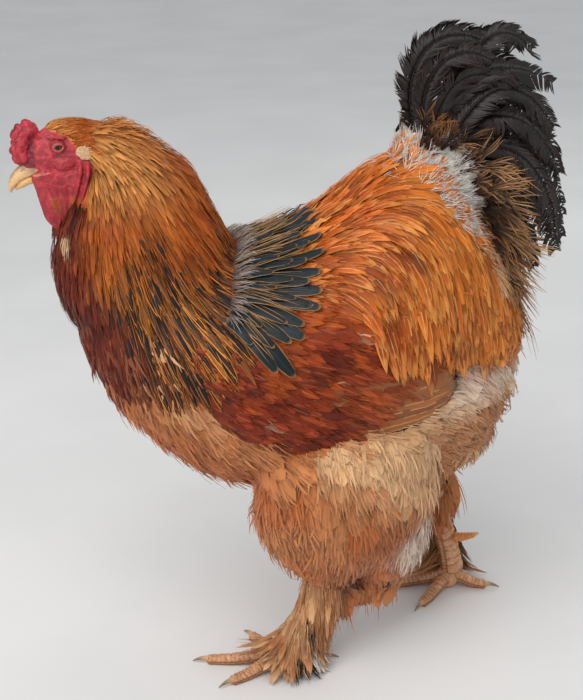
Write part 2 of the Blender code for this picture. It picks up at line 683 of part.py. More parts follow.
def toe_path(side, toe):
    """A toe from the foot's middle out to the root of its claw, and its direction on the floor."""
    foot = FEET[side]
    angle, length = TOES[toe]
    inward = 1.0 if side == "left" else -1.0
    turn = math.radians(foot["ahead"] - inward * angle)
    direction = np.array([-math.cos(turn), -math.sin(turn), 0.0])
    start = np.array([*foot["middle"], 0.016 if toe != "hind" else 0.020])
    end = start + direction * length
    end[2] = TOE_TIP - 0.0008
    return start, end, direction


def toe_form(side, toe):
    start, end, direction = toe_path(side, toe)
    across = np.cross(direction, UP)
    stations = []
    for share, high, thick in ((0.0, 0.0, 1.15), (0.35, 0.0028, 1.0), (0.7, 0.0012, 0.95), (1.0, 0.0, 0.9)):
        middle = start + (end - start) * share + UP * high
        middle[2] = max(middle[2] - 0.008 * share * (1 - share) * 2, TOE_TIP - 0.0008)
        reach = TOE_THICK + (TOE_TIP - TOE_THICK) * share
        stations.append((*middle, reach * thick, reach * thick * 0.95, reach * thick * 0.95))
    return Form(stations, 0.006, 0.004, across)


def claw(side, toe, colour):
    """A curved claw off a toe's end, cut flat where it meets the floor."""
    _, end, direction = toe_path(side, toe)
    across = np.cross(direction, UP)
    stations = []
    for share, drop in ((0.0, 0.0), (0.4, -0.0006), (0.75, 0.0006), (1.0, 0.0026)):
        middle = end + direction * (0.0025 + CLAW_LENGTH * share) + UP * (0.0010 - drop)
        thick = CLAW_THICK * (1.0 - 0.75 * share)
        stations.append((*middle, thick * 0.8, thick, thick))
    form = Form(stations, 0.002, 0.0015, across)
    return form_object(f"claw_{side}_{toe}", form, 3, 6, colour)


def spur(side, colour):
    """A thick blunt spur on the back of the shank, on its inner side."""
    shank = Form(FEET[side]["form"], SHANK_CAP, SHANK_CAP)
    angle = -SPUR_TURN if side == "left" else SPUR_TURN
    root = shank.point(SPUR_PLACE, angle, -0.002)[0]
    direction = unit(shank.point(SPUR_PLACE, angle, 0.01)[0] - shank.point(SPUR_PLACE, angle)[0])
    direction = unit(direction * np.array([1.0, 0.45, 0.0]) + UP * 0.12)
    stations = []
    for share, rise, thick in ((0.0, 0.0, 1.0), (0.4, 0.0, 0.86), (0.75, 0.0010, 0.62), (1.0, 0.0030, 0.34)):
        middle = root + direction * SPUR_LENGTH * share + UP * rise
        size = SPUR_THICK * thick
        stations.append((*middle, size, size, size))
    form = Form(stations, 0.002, 0.002, unit(np.cross(direction, UP)))
    return form_object(f"spur_{side}", form, 3, 6, colour)


def floor_cutter():
    bpy.ops.mesh.primitive_cube_add(size=1.0, location=(0.0, 0.0, -0.5))
    cutter = bpy.context.object
    cutter.scale = (2.0, 2.0, 1.0)
    bpy.ops.object.transform_apply(location=True, rotation=True, scale=True)
    return cutter


def foot_feathers(side):
    """Stiff feathers down the shank's outer side and over the outer toe, spread out and back."""
    shank = Form(FEET[side]["form"], SHANK_CAP, SHANK_CAP)
    sign = 1 if side == "left" else -1
    count = 4
    t = np.linspace(0, 1, count)[:, None]
    pieces = []
    for tier, (u, number, length, width, low, high, fall) in enumerate((
        (0.30, 2, 0.060, 0.034, 80.0, 180.0, 2.0),
        (0.55, 3, 0.072, 0.030, 40.0, 175.0, 1.4),
        (0.80, 3, 0.080, 0.034, 25.0, 148.0, 0.9),
    )):
        for n in range(number):
            angle = low + (high - low) * n / (number - 1)
            root = shank.point(u, sign * angle, -0.006)[0]
            outward = unit(shank.point(u, sign * angle, 0.01)[0] - shank.point(u, 0, -0.5 * 0.03)[0])
            outward = unit(outward * np.array([1.0, 1.0, 0.0]))
            goal = root + (outward - UP * fall * 0.6) * length / math.hypot(1.0, fall * 0.6)
            over_toes = 0.030 * min(max((angle - 122.0) / 20.0, 0.0), 1.0)
            goal[2] = max(goal[2], 0.0035 + 0.0022 * tier + 0.001 * n + over_toes)
            middle = (root + goal) / 2 + outward * 0.010 + UP * 0.006
            path = root * (1 - t) ** 2 + 2 * middle * t * (1 - t) + goal * t**2
            along = unit(np.gradient(path, axis=0))
            across = np.cross(along, unit(outward * 0.5 + UP))
            widths = blade(count, width * 0.45, width, width * 0.35, 0.6)
            pieces.append(vane(f"boot_{side}_{tier}_{n}", path, across, widths))
    return pieces


def clear_scene():
    for obj in list(bpy.data.objects):
        bpy.data.objects.remove(obj)


def main():
    clear_scene()
    buff = material("buff_feather", (0.62, 0.30, 0.10))
    gold = material("gold_feather", (0.60, 0.22, 0.03))
    black = material("black_feather", (0.015, 0.018, 0.018), 0.45)
    red = material("red_skin", (0.55, 0.03, 0.05), 0.6)
    horn = material("beak_horn", (0.75, 0.45, 0.15), 0.4)
    scale = material("toe_scale", (0.65, 0.38, 0.16), 0.6)
    eye = material("eye_wet", (0.25, 0.08, 0.02), 0.1)

    body = torso_solid("torso", 0.0, buff)
    boolean(body, saddle() + cape(), "UNION")
    neck_body = form_object("neck", neck, 10, 16, gold)
    boolean(neck_body, hackle(), "UNION")
    boolean(neck_body, [torso_solid("torso_room", GAP)], "DIFFERENCE")
    head_body = form_object("head", head, 12, 14, gold)
    sockets = []
    eyes = []
    for side, name in ((1, "left"), (-1, "right")):
        place = (EYE_PLACE[0], -side * EYE_PLACE[1], EYE_PLACE[2])
        eyes.append(ball(f"eye_{name}", place, (EYE_RADIUS,) * 3, (90, 0, 0), 9, 6, eye))
        sockets.append(ball(f"socket_{name}", place, (EYE_RADIUS + GAP * 1.5,) * 3, (90, 0, 0), 9, 6))
    lids = []
    for side in (1, -1):
        bpy.ops.mesh.primitive_torus_add(
            major_segments=8, minor_segments=4, major_radius=0.0072, minor_radius=0.0017,
            location=(EYE_PLACE[0], -side * 0.0192, EYE_PLACE[2]), rotation=(math.radians(90), 0, 0))
        lids.append(bpy.context.object)
    boolean(head_body, lids, "UNION")
    boolean(head_body, sockets, "DIFFERENCE")

    upper_form, lower_form = Form(BEAK_UPPER, 0.001, 0.002), Form(BEAK_LOWER, 0.001, 0.002)
    form_object("beak_upper", upper_form, 9, 10, horn)
    form_object("beak_lower", lower_form, 8, 10, horn)
    lower_beak = bpy.data.objects["beak_lower"]
    boolean(lower_beak, [form_object("upper_room", upper_form, 9, 10, grow=GAP)], "DIFFERENCE")
    nostrils = []
    for side in (1, -1):
        place = (NOSTRIL_PLACE[0], -side * NOSTRIL_PLACE[1], NOSTRIL_PLACE[2])
        nostrils.append(ball("nostril", place, NOSTRIL_SIZE, (0, 35, 0), 6, 4))
    boolean(bpy.data.objects["beak_upper"], nostrils, "DIFFERENCE")
    boolean(head_body, [
        form_object("upper_room", upper_form, 9, 10, grow=GAP),
        form_object("lower_room", lower_form, 8, 10, grow=GAP),
    ], "DIFFERENCE")
    boolean(neck_body, [form_object("head_room", head, 12, 14, grow=GAP)], "DIFFERENCE")

    comb_body = comb(red)
    boolean(comb_body, [
        form_object("head_room", head, 12, 14, grow=GAP),
        form_object("upper_room", upper_form, 9, 10, grow=GAP),
    ], "DIFFERENCE")
    for side in (1, -1):
        for make in (wattle, lobe):
            boolean(neck_body, [make(side, None, GAP)], "DIFFERENCE")
            boolean(make(side, red), [
                form_object("head_room", head, 12, 14, grow=GAP),
                form_object("upper_room", upper_form, 9, 10, grow=GAP),
                form_object("lower_room", lower_form, 8, 10, grow=GAP),
            ], "DIFFERENCE")

    tail_body = tail(black)
    boolean(tail_body, [torso_solid("torso_room", GAP)], "DIFFERENCE")

    thighs = {
        "left": Form(THIGH_LEFT, THIGH_TOP, THIGH_END),
        "right": Form(THIGH_RIGHT, THIGH_TOP, THIGH_END),
    }
    for side, name in ((1, "left"), (-1, "right")):
        shell = wing(side, gold)
        rooms = [torso_solid("torso_room", GAP), form_object("thigh_room", thighs[name], 9, 12, grow=GAP)]
        boolean(shell, rooms, "DIFFERENCE")
    for name, form in thighs.items():
        leg = form_object(f"thigh_{name}", form, 9, 12, buff)
        boolean(leg, [form_object("fluff", Form(FLUFF[name], 0.02, 0.02), 6, 10)], "UNION")
        boolean(leg, [torso_solid("torso_room", GAP)], "DIFFERENCE")
        shank_form = Form(FEET[name]["form"], SHANK_CAP, SHANK_CAP)
        shank = form_object(f"shank_{name}", shank_form, 6, 9, buff)
        boolean(shank, foot_feathers(name), "UNION")
        boolean(shank, [form_object("thigh_room", form, 9, 12, grow=GAP)], "DIFFERENCE")
        toes = [toe_form(name, toe) for toe in TOES]
        middle = (*FEET[name]["middle"], 0.013)
        foot = ball(f"foot_{name}", middle, (0.016, 0.014, 0.015), (0, 0, 0), 8, 5, scale)
        boolean(foot, [form_object("toe", toe, 4, 7) for toe in toes], "UNION")
        boolean(foot, [floor_cutter(), form_object("shank_room", shank_form, 6, 9, grow=GAP)], "DIFFERENCE")
        boolean(spur(name, horn), [form_object("shank_room", shank_form, 6, 9, grow=GAP)], "DIFFERENCE")
        for toe, toe_body in zip(TOES, toes):
            nail = claw(name, toe, horn)
            boolean(nail, [floor_cutter(), form_object("toe_room", toe_body, 4, 7, grow=GAP)], "DIFFERENCE")
    for obj in list(bpy.context.scene.collection.objects):
        keep_largest(obj)
    group = bpy.data.collections.new("brahma_cock")
    bpy.context.scene.collection.children.link(group)
    for obj in list(bpy.context.scene.collection.objects):
        bpy.context.scene.collection.objects.unlink(obj)
        group.objects.link(obj)


main()
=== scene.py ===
"""A life-size still model of a standing buff Brahma cock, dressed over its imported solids.

The bird faces -X, its left side is -Y, up is +Z, and it stands on z = 0, as the solids do.
Sizes are in metres. One skin lies inside the plumage, and every feather is a thin closed vane.
"""

import math

import bpy
import numpy as np
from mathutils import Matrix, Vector


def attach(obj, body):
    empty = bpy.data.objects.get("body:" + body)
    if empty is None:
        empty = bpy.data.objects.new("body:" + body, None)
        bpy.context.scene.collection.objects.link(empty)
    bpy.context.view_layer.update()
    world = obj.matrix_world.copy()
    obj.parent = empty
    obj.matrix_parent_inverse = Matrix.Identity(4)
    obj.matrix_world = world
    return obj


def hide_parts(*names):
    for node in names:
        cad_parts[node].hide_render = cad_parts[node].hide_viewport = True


bl_info = {
    "name": "Brahma cock",
    "version": (1, 0, 0),
    "blender": (4, 5, 0),
    "location": "View3D > Sidebar > Brahma cock",
    "description": "Builds the skin, head, feet and plumage of a standing cock over its packed solids",
    "category": "Object",
}

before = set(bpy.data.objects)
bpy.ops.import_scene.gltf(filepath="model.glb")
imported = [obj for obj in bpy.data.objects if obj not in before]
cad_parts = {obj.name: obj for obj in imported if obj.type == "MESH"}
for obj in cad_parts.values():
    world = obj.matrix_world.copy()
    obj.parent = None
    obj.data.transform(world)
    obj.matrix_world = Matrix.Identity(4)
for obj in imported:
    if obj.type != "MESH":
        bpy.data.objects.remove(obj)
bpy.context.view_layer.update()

LEFT = np.array([0.0, -1.0, 0.0])
UP = np.array([0.0, 0.0, 1.0])
SPINE_SAMPLES, CAP_SAMPLES = 90, 10

# The solids' named sizes. A station is x, y, z of its middle, half width, reach up or back, reach down or forward.
TORSO = [
    (-0.226, 0.0, 0.432, 0.048, 0.046, 0.034),
    (-0.202, 0.0, 0.424, 0.074, 0.072, 0.062),
    (-0.166, 0.0, 0.411, 0.098, 0.086, 0.098),
    (-0.125, 0.0, 0.401, 0.113, 0.092, 0.132),
    (-0.080, 0.0, 0.395, 0.122, 0.098, 0.160),
    (-0.025, 0.0, 0.392, 0.127, 0.112, 0.174),
    (0.035, 0.0, 0.392, 0.126, 0.146, 0.175),
    (0.085, 0.0, 0.392, 0.120, 0.182, 0.173),
    (0.128, 0.0, 0.391, 0.110, 0.189, 0.169),
    (0.170, 0.0, 0.389, 0.095, 0.149, 0.161),
    (0.205, 0.0, 0.387, 0.076, 0.084, 0.148),
    (0.228, 0.0, 0.385, 0.054, 0.040, 0.126),
]
NECK = [
    (-0.226, 0.0, 0.613, 0.020, 0.022, 0.026),
    (-0.206, 0.0, 0.600, 0.036, 0.042, 0.040),
    (-0.192, 0.0, 0.565, 0.054, 0.072, 0.068),
    (-0.183, 0.0, 0.520, 0.070, 0.086, 0.086),
    (-0.170, 0.0, 0.475, 0.083, 0.090, 0.093),
    (-0.154, 0.0, 0.437, 0.090, 0.080, 0.080),
]
HEAD = [
    (-0.288, 0.0, 0.601, 0.0100, 0.012, 0.012),
    (-0.275, 0.0, 0.606, 0.0155, 0.022, 0.020),
    (-0.257, 0.0, 0.611, 0.0195, 0.030, 0.026),
    (-0.238, 0.0, 0.612, 0.0215, 0.031, 0.032),
    (-0.218, 0.0, 0.606, 0.0235, 0.030, 0.034),
]
THIGHS = {
    "left": [
        (0.020, -0.055, 0.310, 0.060, 0.110, 0.080),
        (0.026, -0.072, 0.262, 0.062, 0.112, 0.088),
        (0.028, -0.076, 0.212, 0.056, 0.100, 0.096),
        (0.018, -0.072, 0.168, 0.044, 0.066, 0.080),
        (0.008, -0.068, 0.136, 0.030, 0.036, 0.046),
    ],
    "right": [
        (0.070, 0.050, 0.306, 0.060, 0.080, 0.090),
        (0.096, 0.066, 0.266, 0.060, 0.086, 0.092),
        (0.126, 0.071, 0.224, 0.050, 0.070, 0.074),
        (0.152, 0.070, 0.182, 0.038, 0.046, 0.050),
        (0.172, 0.067, 0.156, 0.026, 0.028, 0.032),
    ],
}
FLUFF = {
    "left": [
        (0.080, -0.040, 0.205, 0.056, 0.060, 0.050),
        (0.086, -0.046, 0.152, 0.048, 0.050, 0.044),
        (0.088, -0.048, 0.116, 0.032, 0.034, 0.032),
    ],
    "right": [
        (0.172, 0.034, 0.285, 0.056, 0.056, 0.060),
        (0.188, 0.036, 0.245, 0.052, 0.052, 0.050),
        (0.192, 0.040, 0.218, 0.036, 0.036, 0.034),
    ],
}
SHANKS = {
    "left": [
        (0.010, -0.067, 0.128, 0.0170, 0.0190, 0.0175),
        (0.002, -0.067, 0.100, 0.0140, 0.0150, 0.0145),
        (-0.016, -0.066, 0.058, 0.0125, 0.0130, 0.0125),
        (-0.030, -0.066, 0.026, 0.0150, 0.0150, 0.0150),
    ],
    "right": [
        (0.178, 0.067, 0.146, 0.0160, 0.0180, 0.0170),
        (0.188, 0.067, 0.116, 0.0135, 0.0150, 0.0145),
        (0.204, 0.066, 0.064, 0.0125, 0.0130, 0.0125),
        (0.212, 0.065, 0.026, 0.0150, 0.0150, 0.0150),
    ],
}
TAIL_CORE = [
    (0.116, 0.0, 0.572, 0.028, 0.032, 0.040),
    (0.134, 0.0, 0.574, 0.036, 0.046, 0.054),
    (0.158, 0.0, 0.574, 0.038, 0.044, 0.076),
    (0.184, 0.0, 0.572, 0.031, 0.022, 0.094),
    (0.200, 0.0, 0.570, 0.019, 0.006, 0.080),
]
BEAK_UPPER = [
    (-0.3075, 0.0, 0.5715, 0.0012, 0.0014, 0.0012),
    (-0.3050, 0.0, 0.5785, 0.0046, 0.0050, 0.0034),
    (-0.2975, 0.0, 0.5865, 0.0070, 0.0088, 0.0042),
    (-0.2860, 0.0, 0.5912, 0.0092, 0.0120, 0.0036),
    (-0.2740, 0.0, 0.5945, 0.0108, 0.0110, 0.0032),
    (-0.2670, 0.0, 0.5955, 0.0118, 0.0090, 0.0030),
]
BEAK_LOWER = [
    (-0.3020, 0.0, 0.5745, 0.0018, 0.0022, 0.0020),
    (-0.2965, 0.0, 0.5790, 0.0046, 0.0046, 0.0044),
    (-0.2885, 0.0, 0.5835, 0.0072, 0.0048, 0.0054),
    (-0.2740, 0.0, 0.5870, 0.0086, 0.0042, 0.0056),
    (-0.2680, 0.0, 0.5885, 0.0092, 0.0040, 0.0050),
]
FEET = {
    "left": {"middle": (-0.036, -0.066), "ahead": -14.0},
    "right": {"middle": (0.207, 0.064), "ahead": -9.0},
}
TOES = {"middle": (0.0, 0.086), "inner": (52.0, 0.062), "outer": (-36.0, 0.068), "hind": (168.0, 0.046)}
TOE_THICK, TOE_TIP = 0.0085, 0.0058
CLAW_LENGTH, CLAW_THICK = 0.017, 0.0042
SPUR_PLACE, SPUR_TURN, SPUR_LENGTH, SPUR_THICK = 0.62, 35.0, 0.030, 0.0062
EYE_PLACE = (-0.2575, 0.0158, 0.6205)
COMB_LINE = [(-0.2970, 0.6050), (-0.2990, 0.6185), (-0.2962, 0.6320), (-0.2866, 0.6412)]
WING_FRONT, WING_TIP, WING_MIDDLE, WING_HALF, WING_DROP, WING_THICK = -0.150, 0.148, 84.0, 34.0, 9.0, 0.010
WING_BED = 0.0012
# The bare face's edge, seen from the side: x and z.
FACE_EDGE = [
    (-0.3300, 0.560), (-0.3300, 0.670), (-0.2780, 0.670), (-0.2770, 0.6390), (-0.2620, 0.6350), (-0.2480, 0.6300),
    (-0.2380, 0.6160), (-0.2221, 0.6042), (-0.2248, 0.5928), (-0.2285, 0.5794), (-0.2312, 0.5679), (-0.2351, 0.5532),
    (-0.2399, 0.5396), (-0.2549, 0.5230), (-0.2684, 0.5200), (-0.2780, 0.5300), (-0.2900, 0.560),
]
# The root of the tail from its top to the rump: share, x, z and the way the coverts point, in degrees.
TAIL_ROOT = np.array([
    (0.0, 0.120, 0.612, 72.0), (0.25, 0.150, 0.592, 38.0), (0.5, 0.184, 0.556, 4.0),
    (0.75, 0.208, 0.502, -30.0), (1.0, 0.218, 0.444, -60.0),
])
# Tail feathers: root, two controls and end, each as x, z, then the offset sideways at root and end, and half width.
PLUMES = [
    ((0.136, 0.588), (0.098, 0.665), (0.120, 0.738), (0.190, 0.712), 0.004, 0.010, 0.022),
    ((0.138, 0.588), (0.112, 0.660), (0.140, 0.715), (0.198, 0.690), 0.010, 0.026, 0.020),
    ((0.142, 0.588), (0.128, 0.650), (0.160, 0.695), (0.212, 0.668), 0.014, 0.038, 0.020),
    ((0.146, 0.585), (0.160, 0.690), (0.200, 0.742), (0.243, 0.702), 0.003, 0.016, 0.020),
    ((0.146, 0.585), (0.156, 0.680), (0.205, 0.716), (0.256, 0.664), 0.008, 0.030, 0.021),
    ((0.148, 0.582), (0.165, 0.665), (0.215, 0.690), (0.262, 0.620), 0.014, 0.044, 0.020),
    ((0.150, 0.582), (0.182, 0.690), (0.248, 0.690), (0.280, 0.590), 0.006, 0.022, 0.018),
    ((0.150, 0.580), (0.188, 0.665), (0.246, 0.650), (0.276, 0.560), 0.012, 0.038, 0.019),
    ((0.154, 0.578), (0.200, 0.655), (0.266, 0.628), (0.288, 0.520), 0.008, 0.028, 0.016),
    ((0.154, 0.575), (0.204, 0.636), (0.258, 0.600), (0.274, 0.500), 0.015, 0.044, 0.018),
    ((0.158, 0.570), (0.214, 0.632), (0.276, 0.585), (0.2900, 0.492), 0.010, 0.030, 0.016),
    ((0.160, 0.566), (0.214, 0.606), (0.262, 0.560), (0.274, 0.480), 0.016, 0.040, 0.018),
    ((0.164, 0.560), (0.212, 0.590), (0.252, 0.525), (0.262, 0.455), 0.018, 0.036, 0.016),
]


def unit(v):
    v = np.asarray(v, float)
    return v / np.maximum(np.linalg.norm(v, axis=-1, keepdims=True), 1e-12)


def ease(value, low, high):
    """0 below low, 1 above high, and smooth between."""
    t = np.clip((np.asarray(value, float) - low) / (high - low), 0, 1)
    return t * t * (3 - 2 * t)


def mixed(a, b, share):
    """Colours or points from a to b."""
    share = np.asarray(share, float)[..., None]
    return np.asarray(a, float) * (1 - share) + np.asarray(b, float) * share


def noise(points, size, seed=0.0):
    """Smooth noise in space, from -1 to 1, with lumps of about this size."""
    q = np.asarray(points, float) / size + seed * 7.31
    base = np.floor(q)
    f = q - base
    f = f * f * (3 - 2 * f)
    total = 0.0
    for dx in (0, 1):
        for dy in (0, 1):
            for dz in (0, 1):
                corner = base + (dx, dy, dz)
                value = np.modf(np.abs(np.sin(corner @ (12.9898, 78.233, 37.719)) * 43758.5453))[0]
                weight = (
                    (f[..., 0] if dx else 1 - f[..., 0])
                    * (f[..., 1] if dy else 1 - f[..., 1])
                    * (f[..., 2] if dz else 1 - f[..., 2])
                )
                total = total + value * weight
    return total * 2 - 1


def blend_rows(table, count):
    """A smooth curve through the rows of a table, read at count even places."""
    table = np.asarray(table, float)
    rows = np.vstack([2 * table[0] - table[1], table, 2 * table[-1] - table[-2]])
    place = np.linspace(0, len(table) - 1, count)
    k = np.minimum(place.astype(int), len(table) - 2)
    f = (place - k)[:, None]
    a, b, c, d = (rows[k + i] for i in range(4))
    return 0.5 * (2 * b + (c - a) * f + (2 * a - 5 * b + 4 * c - d) * f**2 + (3 * b - a - 3 * c + d) * f**3)


class Form:
    """A rounded body: oval sections along a bent spine. Angle 0 is its back, 90 its left, 180 its belly."""

    def __init__(self, stations, front, back, side=LEFT):
        rows = blend_rows(stations, SPINE_SAMPLES)
        centre, reach = rows[:, :3], rows[:, 3:]
        tangent = unit(np.gradient(centre, axis=0))
        turn = np.linspace(0.0, math.pi / 2, CAP_SAMPLES, endpoint=False)[:, None]
        self.centre = np.vstack([
            centre[0] - tangent[0] * front * np.cos(turn),
            centre,
            (centre[-1] + tangent[-1] * back * np.cos(turn))[::-1],
        ])
        self.reach = np.vstack([reach[0] * np.sin(turn), reach, (reach[-1] * np.sin(turn))[::-1]])
        self.tangent = np.vstack([
            np.repeat(tangent[:1], CAP_SAMPLES, 0), tangent, np.repeat(tangent[-1:], CAP_SAMPLES, 0)])
        along = self.tangent @ side
        self.side = unit(side - along[:, None] * self.tangent)
        self.dorsal = np.cross(self.side, self.tangent)
        top = self.centre + self.dorsal * self.reach[:, 1:2]
        low = self.centre - self.dorsal * self.reach[:, 2:3]
        step = np.linalg.norm(np.diff(top, axis=0), axis=1) + np.linalg.norm(np.diff(low, axis=0), axis=1)
        self.place = np.concatenate([[0.0], np.cumsum(step)]) / step.sum()

    def read(self, array, u):
        u = np.atleast_1d(u)
        return np.stack([np.interp(u, self.place, array[:, i]) for i in range(array.shape[1])], -1)

    def point(self, u, angle, out=0.0):
        """Points of the surface at places u along it and angles in degrees, moved outwards by out."""
        turn = np.radians(np.atleast_1d(angle).astype(float))
        reach = self.read(self.reach, u)
        side, dorsal = unit(self.read(self.side, u)), unit(self.read(self.dorsal, u))
        high = np.where(np.cos(turn) >= 0, reach[:, 1], reach[:, 2])
        flat = side * (np.sin(turn) * reach[:, 0])[:, None] + dorsal * (np.cos(turn) * high)[:, None]
        normal = unit(side * (np.sin(turn) * high)[:, None] + dorsal * (np.cos(turn) * reach[:, 0])[:, None] + 1e-12)
        return self.read(self.centre, u) + flat + normal * np.reshape(out, (-1, 1))

    def at_x(self, x):
        return np.interp(x, self.centre[:, 0], self.place)

    def locate(self, points):
        """For each point, its place along the body, its angle, how far outside the surface it is, and the way out."""
        away = ((points[:, None, :] - self.centre[None]) ** 2).sum(2)
        k = away.argmin(axis=1)
        flat = points - self.centre[k]
        flat -= (flat * self.tangent[k]).sum(1, keepdims=True) * self.tangent[k]
        across, high = (flat * self.side[k]).sum(1), (flat * self.dorsal[k]).sum(1)
        reach = np.maximum(self.reach[k], 1e-6)
        tall = np.where(high >= 0, reach[:, 1], reach[:, 2])
        ratio = np.maximum(np.hypot(across / reach[:, 0], high / tall), 1e-6)
        size = np.hypot(across, high)
        inside = (k > 0) & (k < len(self.place) - 1)
        angle = np.degrees(np.arctan2(across / reach[:, 0], high / tall))
        out = unit(self.side[k] * (across / reach[:, 0] ** 2)[:, None] + self.dorsal[k] * (high / tall**2)[:, None])
        return self.place[k], angle, np.where(inside, size * (1 - 1 / ratio), np.inf), out


torso = Form(TORSO, 0.013, 0.016)
neck = Form(NECK, 0.010, 0.030)
head = Form(HEAD, 0.006, 0.012)
tail_core = Form(TAIL_CORE, 0.010, 0.010)
thighs = {side: Form(rows, 0.030, 0.012) for side, rows in THIGHS.items()}
fluffs = {side: Form(rows, 0.020, 0.020) for side, rows in FLUFF.items()}
shanks = {side: Form(rows, 0.008, 0.008) for side, rows in SHANKS.items()}


def wing_profile(x, angle):
    """How far the folded wing stands off the torso."""
    angle = np.abs(np.asarray(angle, float))
    share = np.clip((x - WING_FRONT) / (WING_TIP - WING_FRONT), 0, 1)
    narrow = np.maximum(4 * share * (1 - share), 1e-9) ** 0.3
    place = (angle - WING_MIDDLE - WING_DROP * share) / (WING_HALF * narrow)
    return WING_THICK * narrow * np.sqrt(np.clip(1 - place**2, 0, 1))


def wing_height(points, angle):
    """The folded wing's surface over the torso, for the feathers of the wing itself."""
    return WING_BED + wing_profile(points[:, 0], angle)


def wing_cover(points, angle):
    """The wing with its feathers and a soft margin, for what lies over it."""
    shells = [
        wing_profile(points[:, 0] + dx, np.abs(angle) + da) for dx in (-0.014, 0.0, 0.014) for da in (-8.0, 0.0, 8.0)]
    return WING_BED + 0.0030 + np.mean(shells, axis=0)


BODY = [(torso, None), (neck, None), (thighs["left"], None), (thighs["right"], None),
        (fluffs["left"], None), (fluffs["right"], None), (tail_core, None)]
OVER_WING = [(torso, wing_cover), (neck, None), (tail_core, None)]
ON_WING = [(torso, wing_height), (neck, None)]
UPPER = [(torso, wing_cover), (neck, None), (head, None)]


def cover(points, forms, soft=0.006):
    """How far each point is outside the joined forms, and the way out, with their meeting lines rounded."""
    depths, ways = [], []
    for form, height in forms:
        _, angle, depth, way = form.locate(points)
        if height:
            depth = depth - height(points, angle)
        depths.append(depth)
        ways.append(way)
    depths, ways = np.array(depths), np.array(ways)
    least = depths.min(axis=0)
    least = np.where(np.isfinite(least), least, 0.05)
    weight = np.exp(-np.clip((depths - least) / soft, 0, 50))
    weight = np.where(np.isfinite(depths), weight, 0.0) + 1e-12
    return least - soft * 0.5 * np.log(weight.sum(axis=0)), unit((ways * weight[..., None]).sum(axis=0))


def tangent(direction, away):
    direction = np.broadcast_to(direction, away.shape)
    return unit(direction - (direction * away).sum(1, keepdims=True) * away)


def scatter(form, places, angles, spacing, random, jitter=0.42, stretch=1.0):
    """Roots spread evenly over a patch of a form, in rows with their places shifted."""
    us, turns = [], []
    u, row = places[0], 0
    fan = np.linspace(angles[0], angles[1], 61)
    while u < places[1]:
        ring = form.point(np.full(61, u), fan)
        ahead = form.point(np.full(61, min(u + 0.01, 1.0)), fan)
        step = max(np.linalg.norm(ahead - ring, axis=1).mean() / 0.01, 0.02)
        arc = np.concatenate([[0.0], np.cumsum(np.linalg.norm(np.diff(ring, axis=0), axis=1))])
        count = max(int(arc[-1] / spacing), 1)
        s = (np.arange(count) + 0.5 * (row % 2) + random.uniform(-jitter, jitter, count)) / count * arc[-1]
        turns.append(np.interp(s, arc, fan))
        us.append(u + random.uniform(-jitter, jitter, count) * spacing * stretch / step)
        u += spacing * stretch / step
        row += 1
    return np.clip(np.concatenate(us), 0.001, 0.999), np.concatenate(turns)


def lay(roots, heading, lengths, places, rises, forms, flow=None, turn=0.5, sag=0.7):
    """Feather paths over the body. Each is held at its rises above the forms, and may hang free past an edge."""
    depth, away = cover(roots, forms)
    point = roots + away * (rises[:, 0] - depth)[:, None]
    ahead = tangent(heading, away)
    path, up = [point], [away]
    for i in range(1, len(places)):
        step = lengths * (places[i] - places[i - 1])
        target = point + ahead * step[:, None]
        depth, away = cover(target, forms)
        held = sag * (1 - 0.9 * ease(-away[:, 2], 0.25, 0.8))
        target = target + away * np.maximum(rises[:, i] - depth, -held * step)[:, None]
        ahead = unit(target - point)
        if flow is not None:
            fall = flow(target)
            fall = np.where((depth > rises[:, i] + 0.003)[:, None], unit(fall), tangent(fall, away))
            ahead = unit(ahead + turn * fall * (step / 0.012)[:, None])
        point = target
        path.append(point)
        up.append(away)
    return np.stack(path, 1), np.stack(up, 1)


POINTED = np.array([0.0, 0.22, 0.45, 0.66, 0.85, 1.0])
ROUNDED = np.array([0.0, 0.30, 0.60, 0.82, 0.94, 1.0])
WISP = np.array([0.0, 0.38, 0.74, 1.0])


def pointed(t):
    t = np.asarray(t)
    return np.where(t < 0.4, 0.5 + 0.5 * np.sin(t / 0.4 * math.pi / 2), np.cos((t - 0.4) / 0.6 * math.pi / 2) ** 0.75)


def rounded(t):
    t = np.asarray(t)
    tip = np.sqrt(np.clip(1 - ((t - 0.6) / 0.4) ** 2, 0, 1))
    return np.where(t < 0.6, 0.45 + 0.55 * np.sin(t / 0.6 * math.pi / 2), tip)


def rise_of(places, root, lift, count, random, loose=0.0012):
    """Heights over the body: sunk at the root, then up to the lift, each feather at a height of its own."""
    own = random.uniform(-loose, loose, count)[:, None]
    return (root + lift) * ease(places, -0.15, 0.75)[None] - root + own * ease(places, 0.0, 0.6)


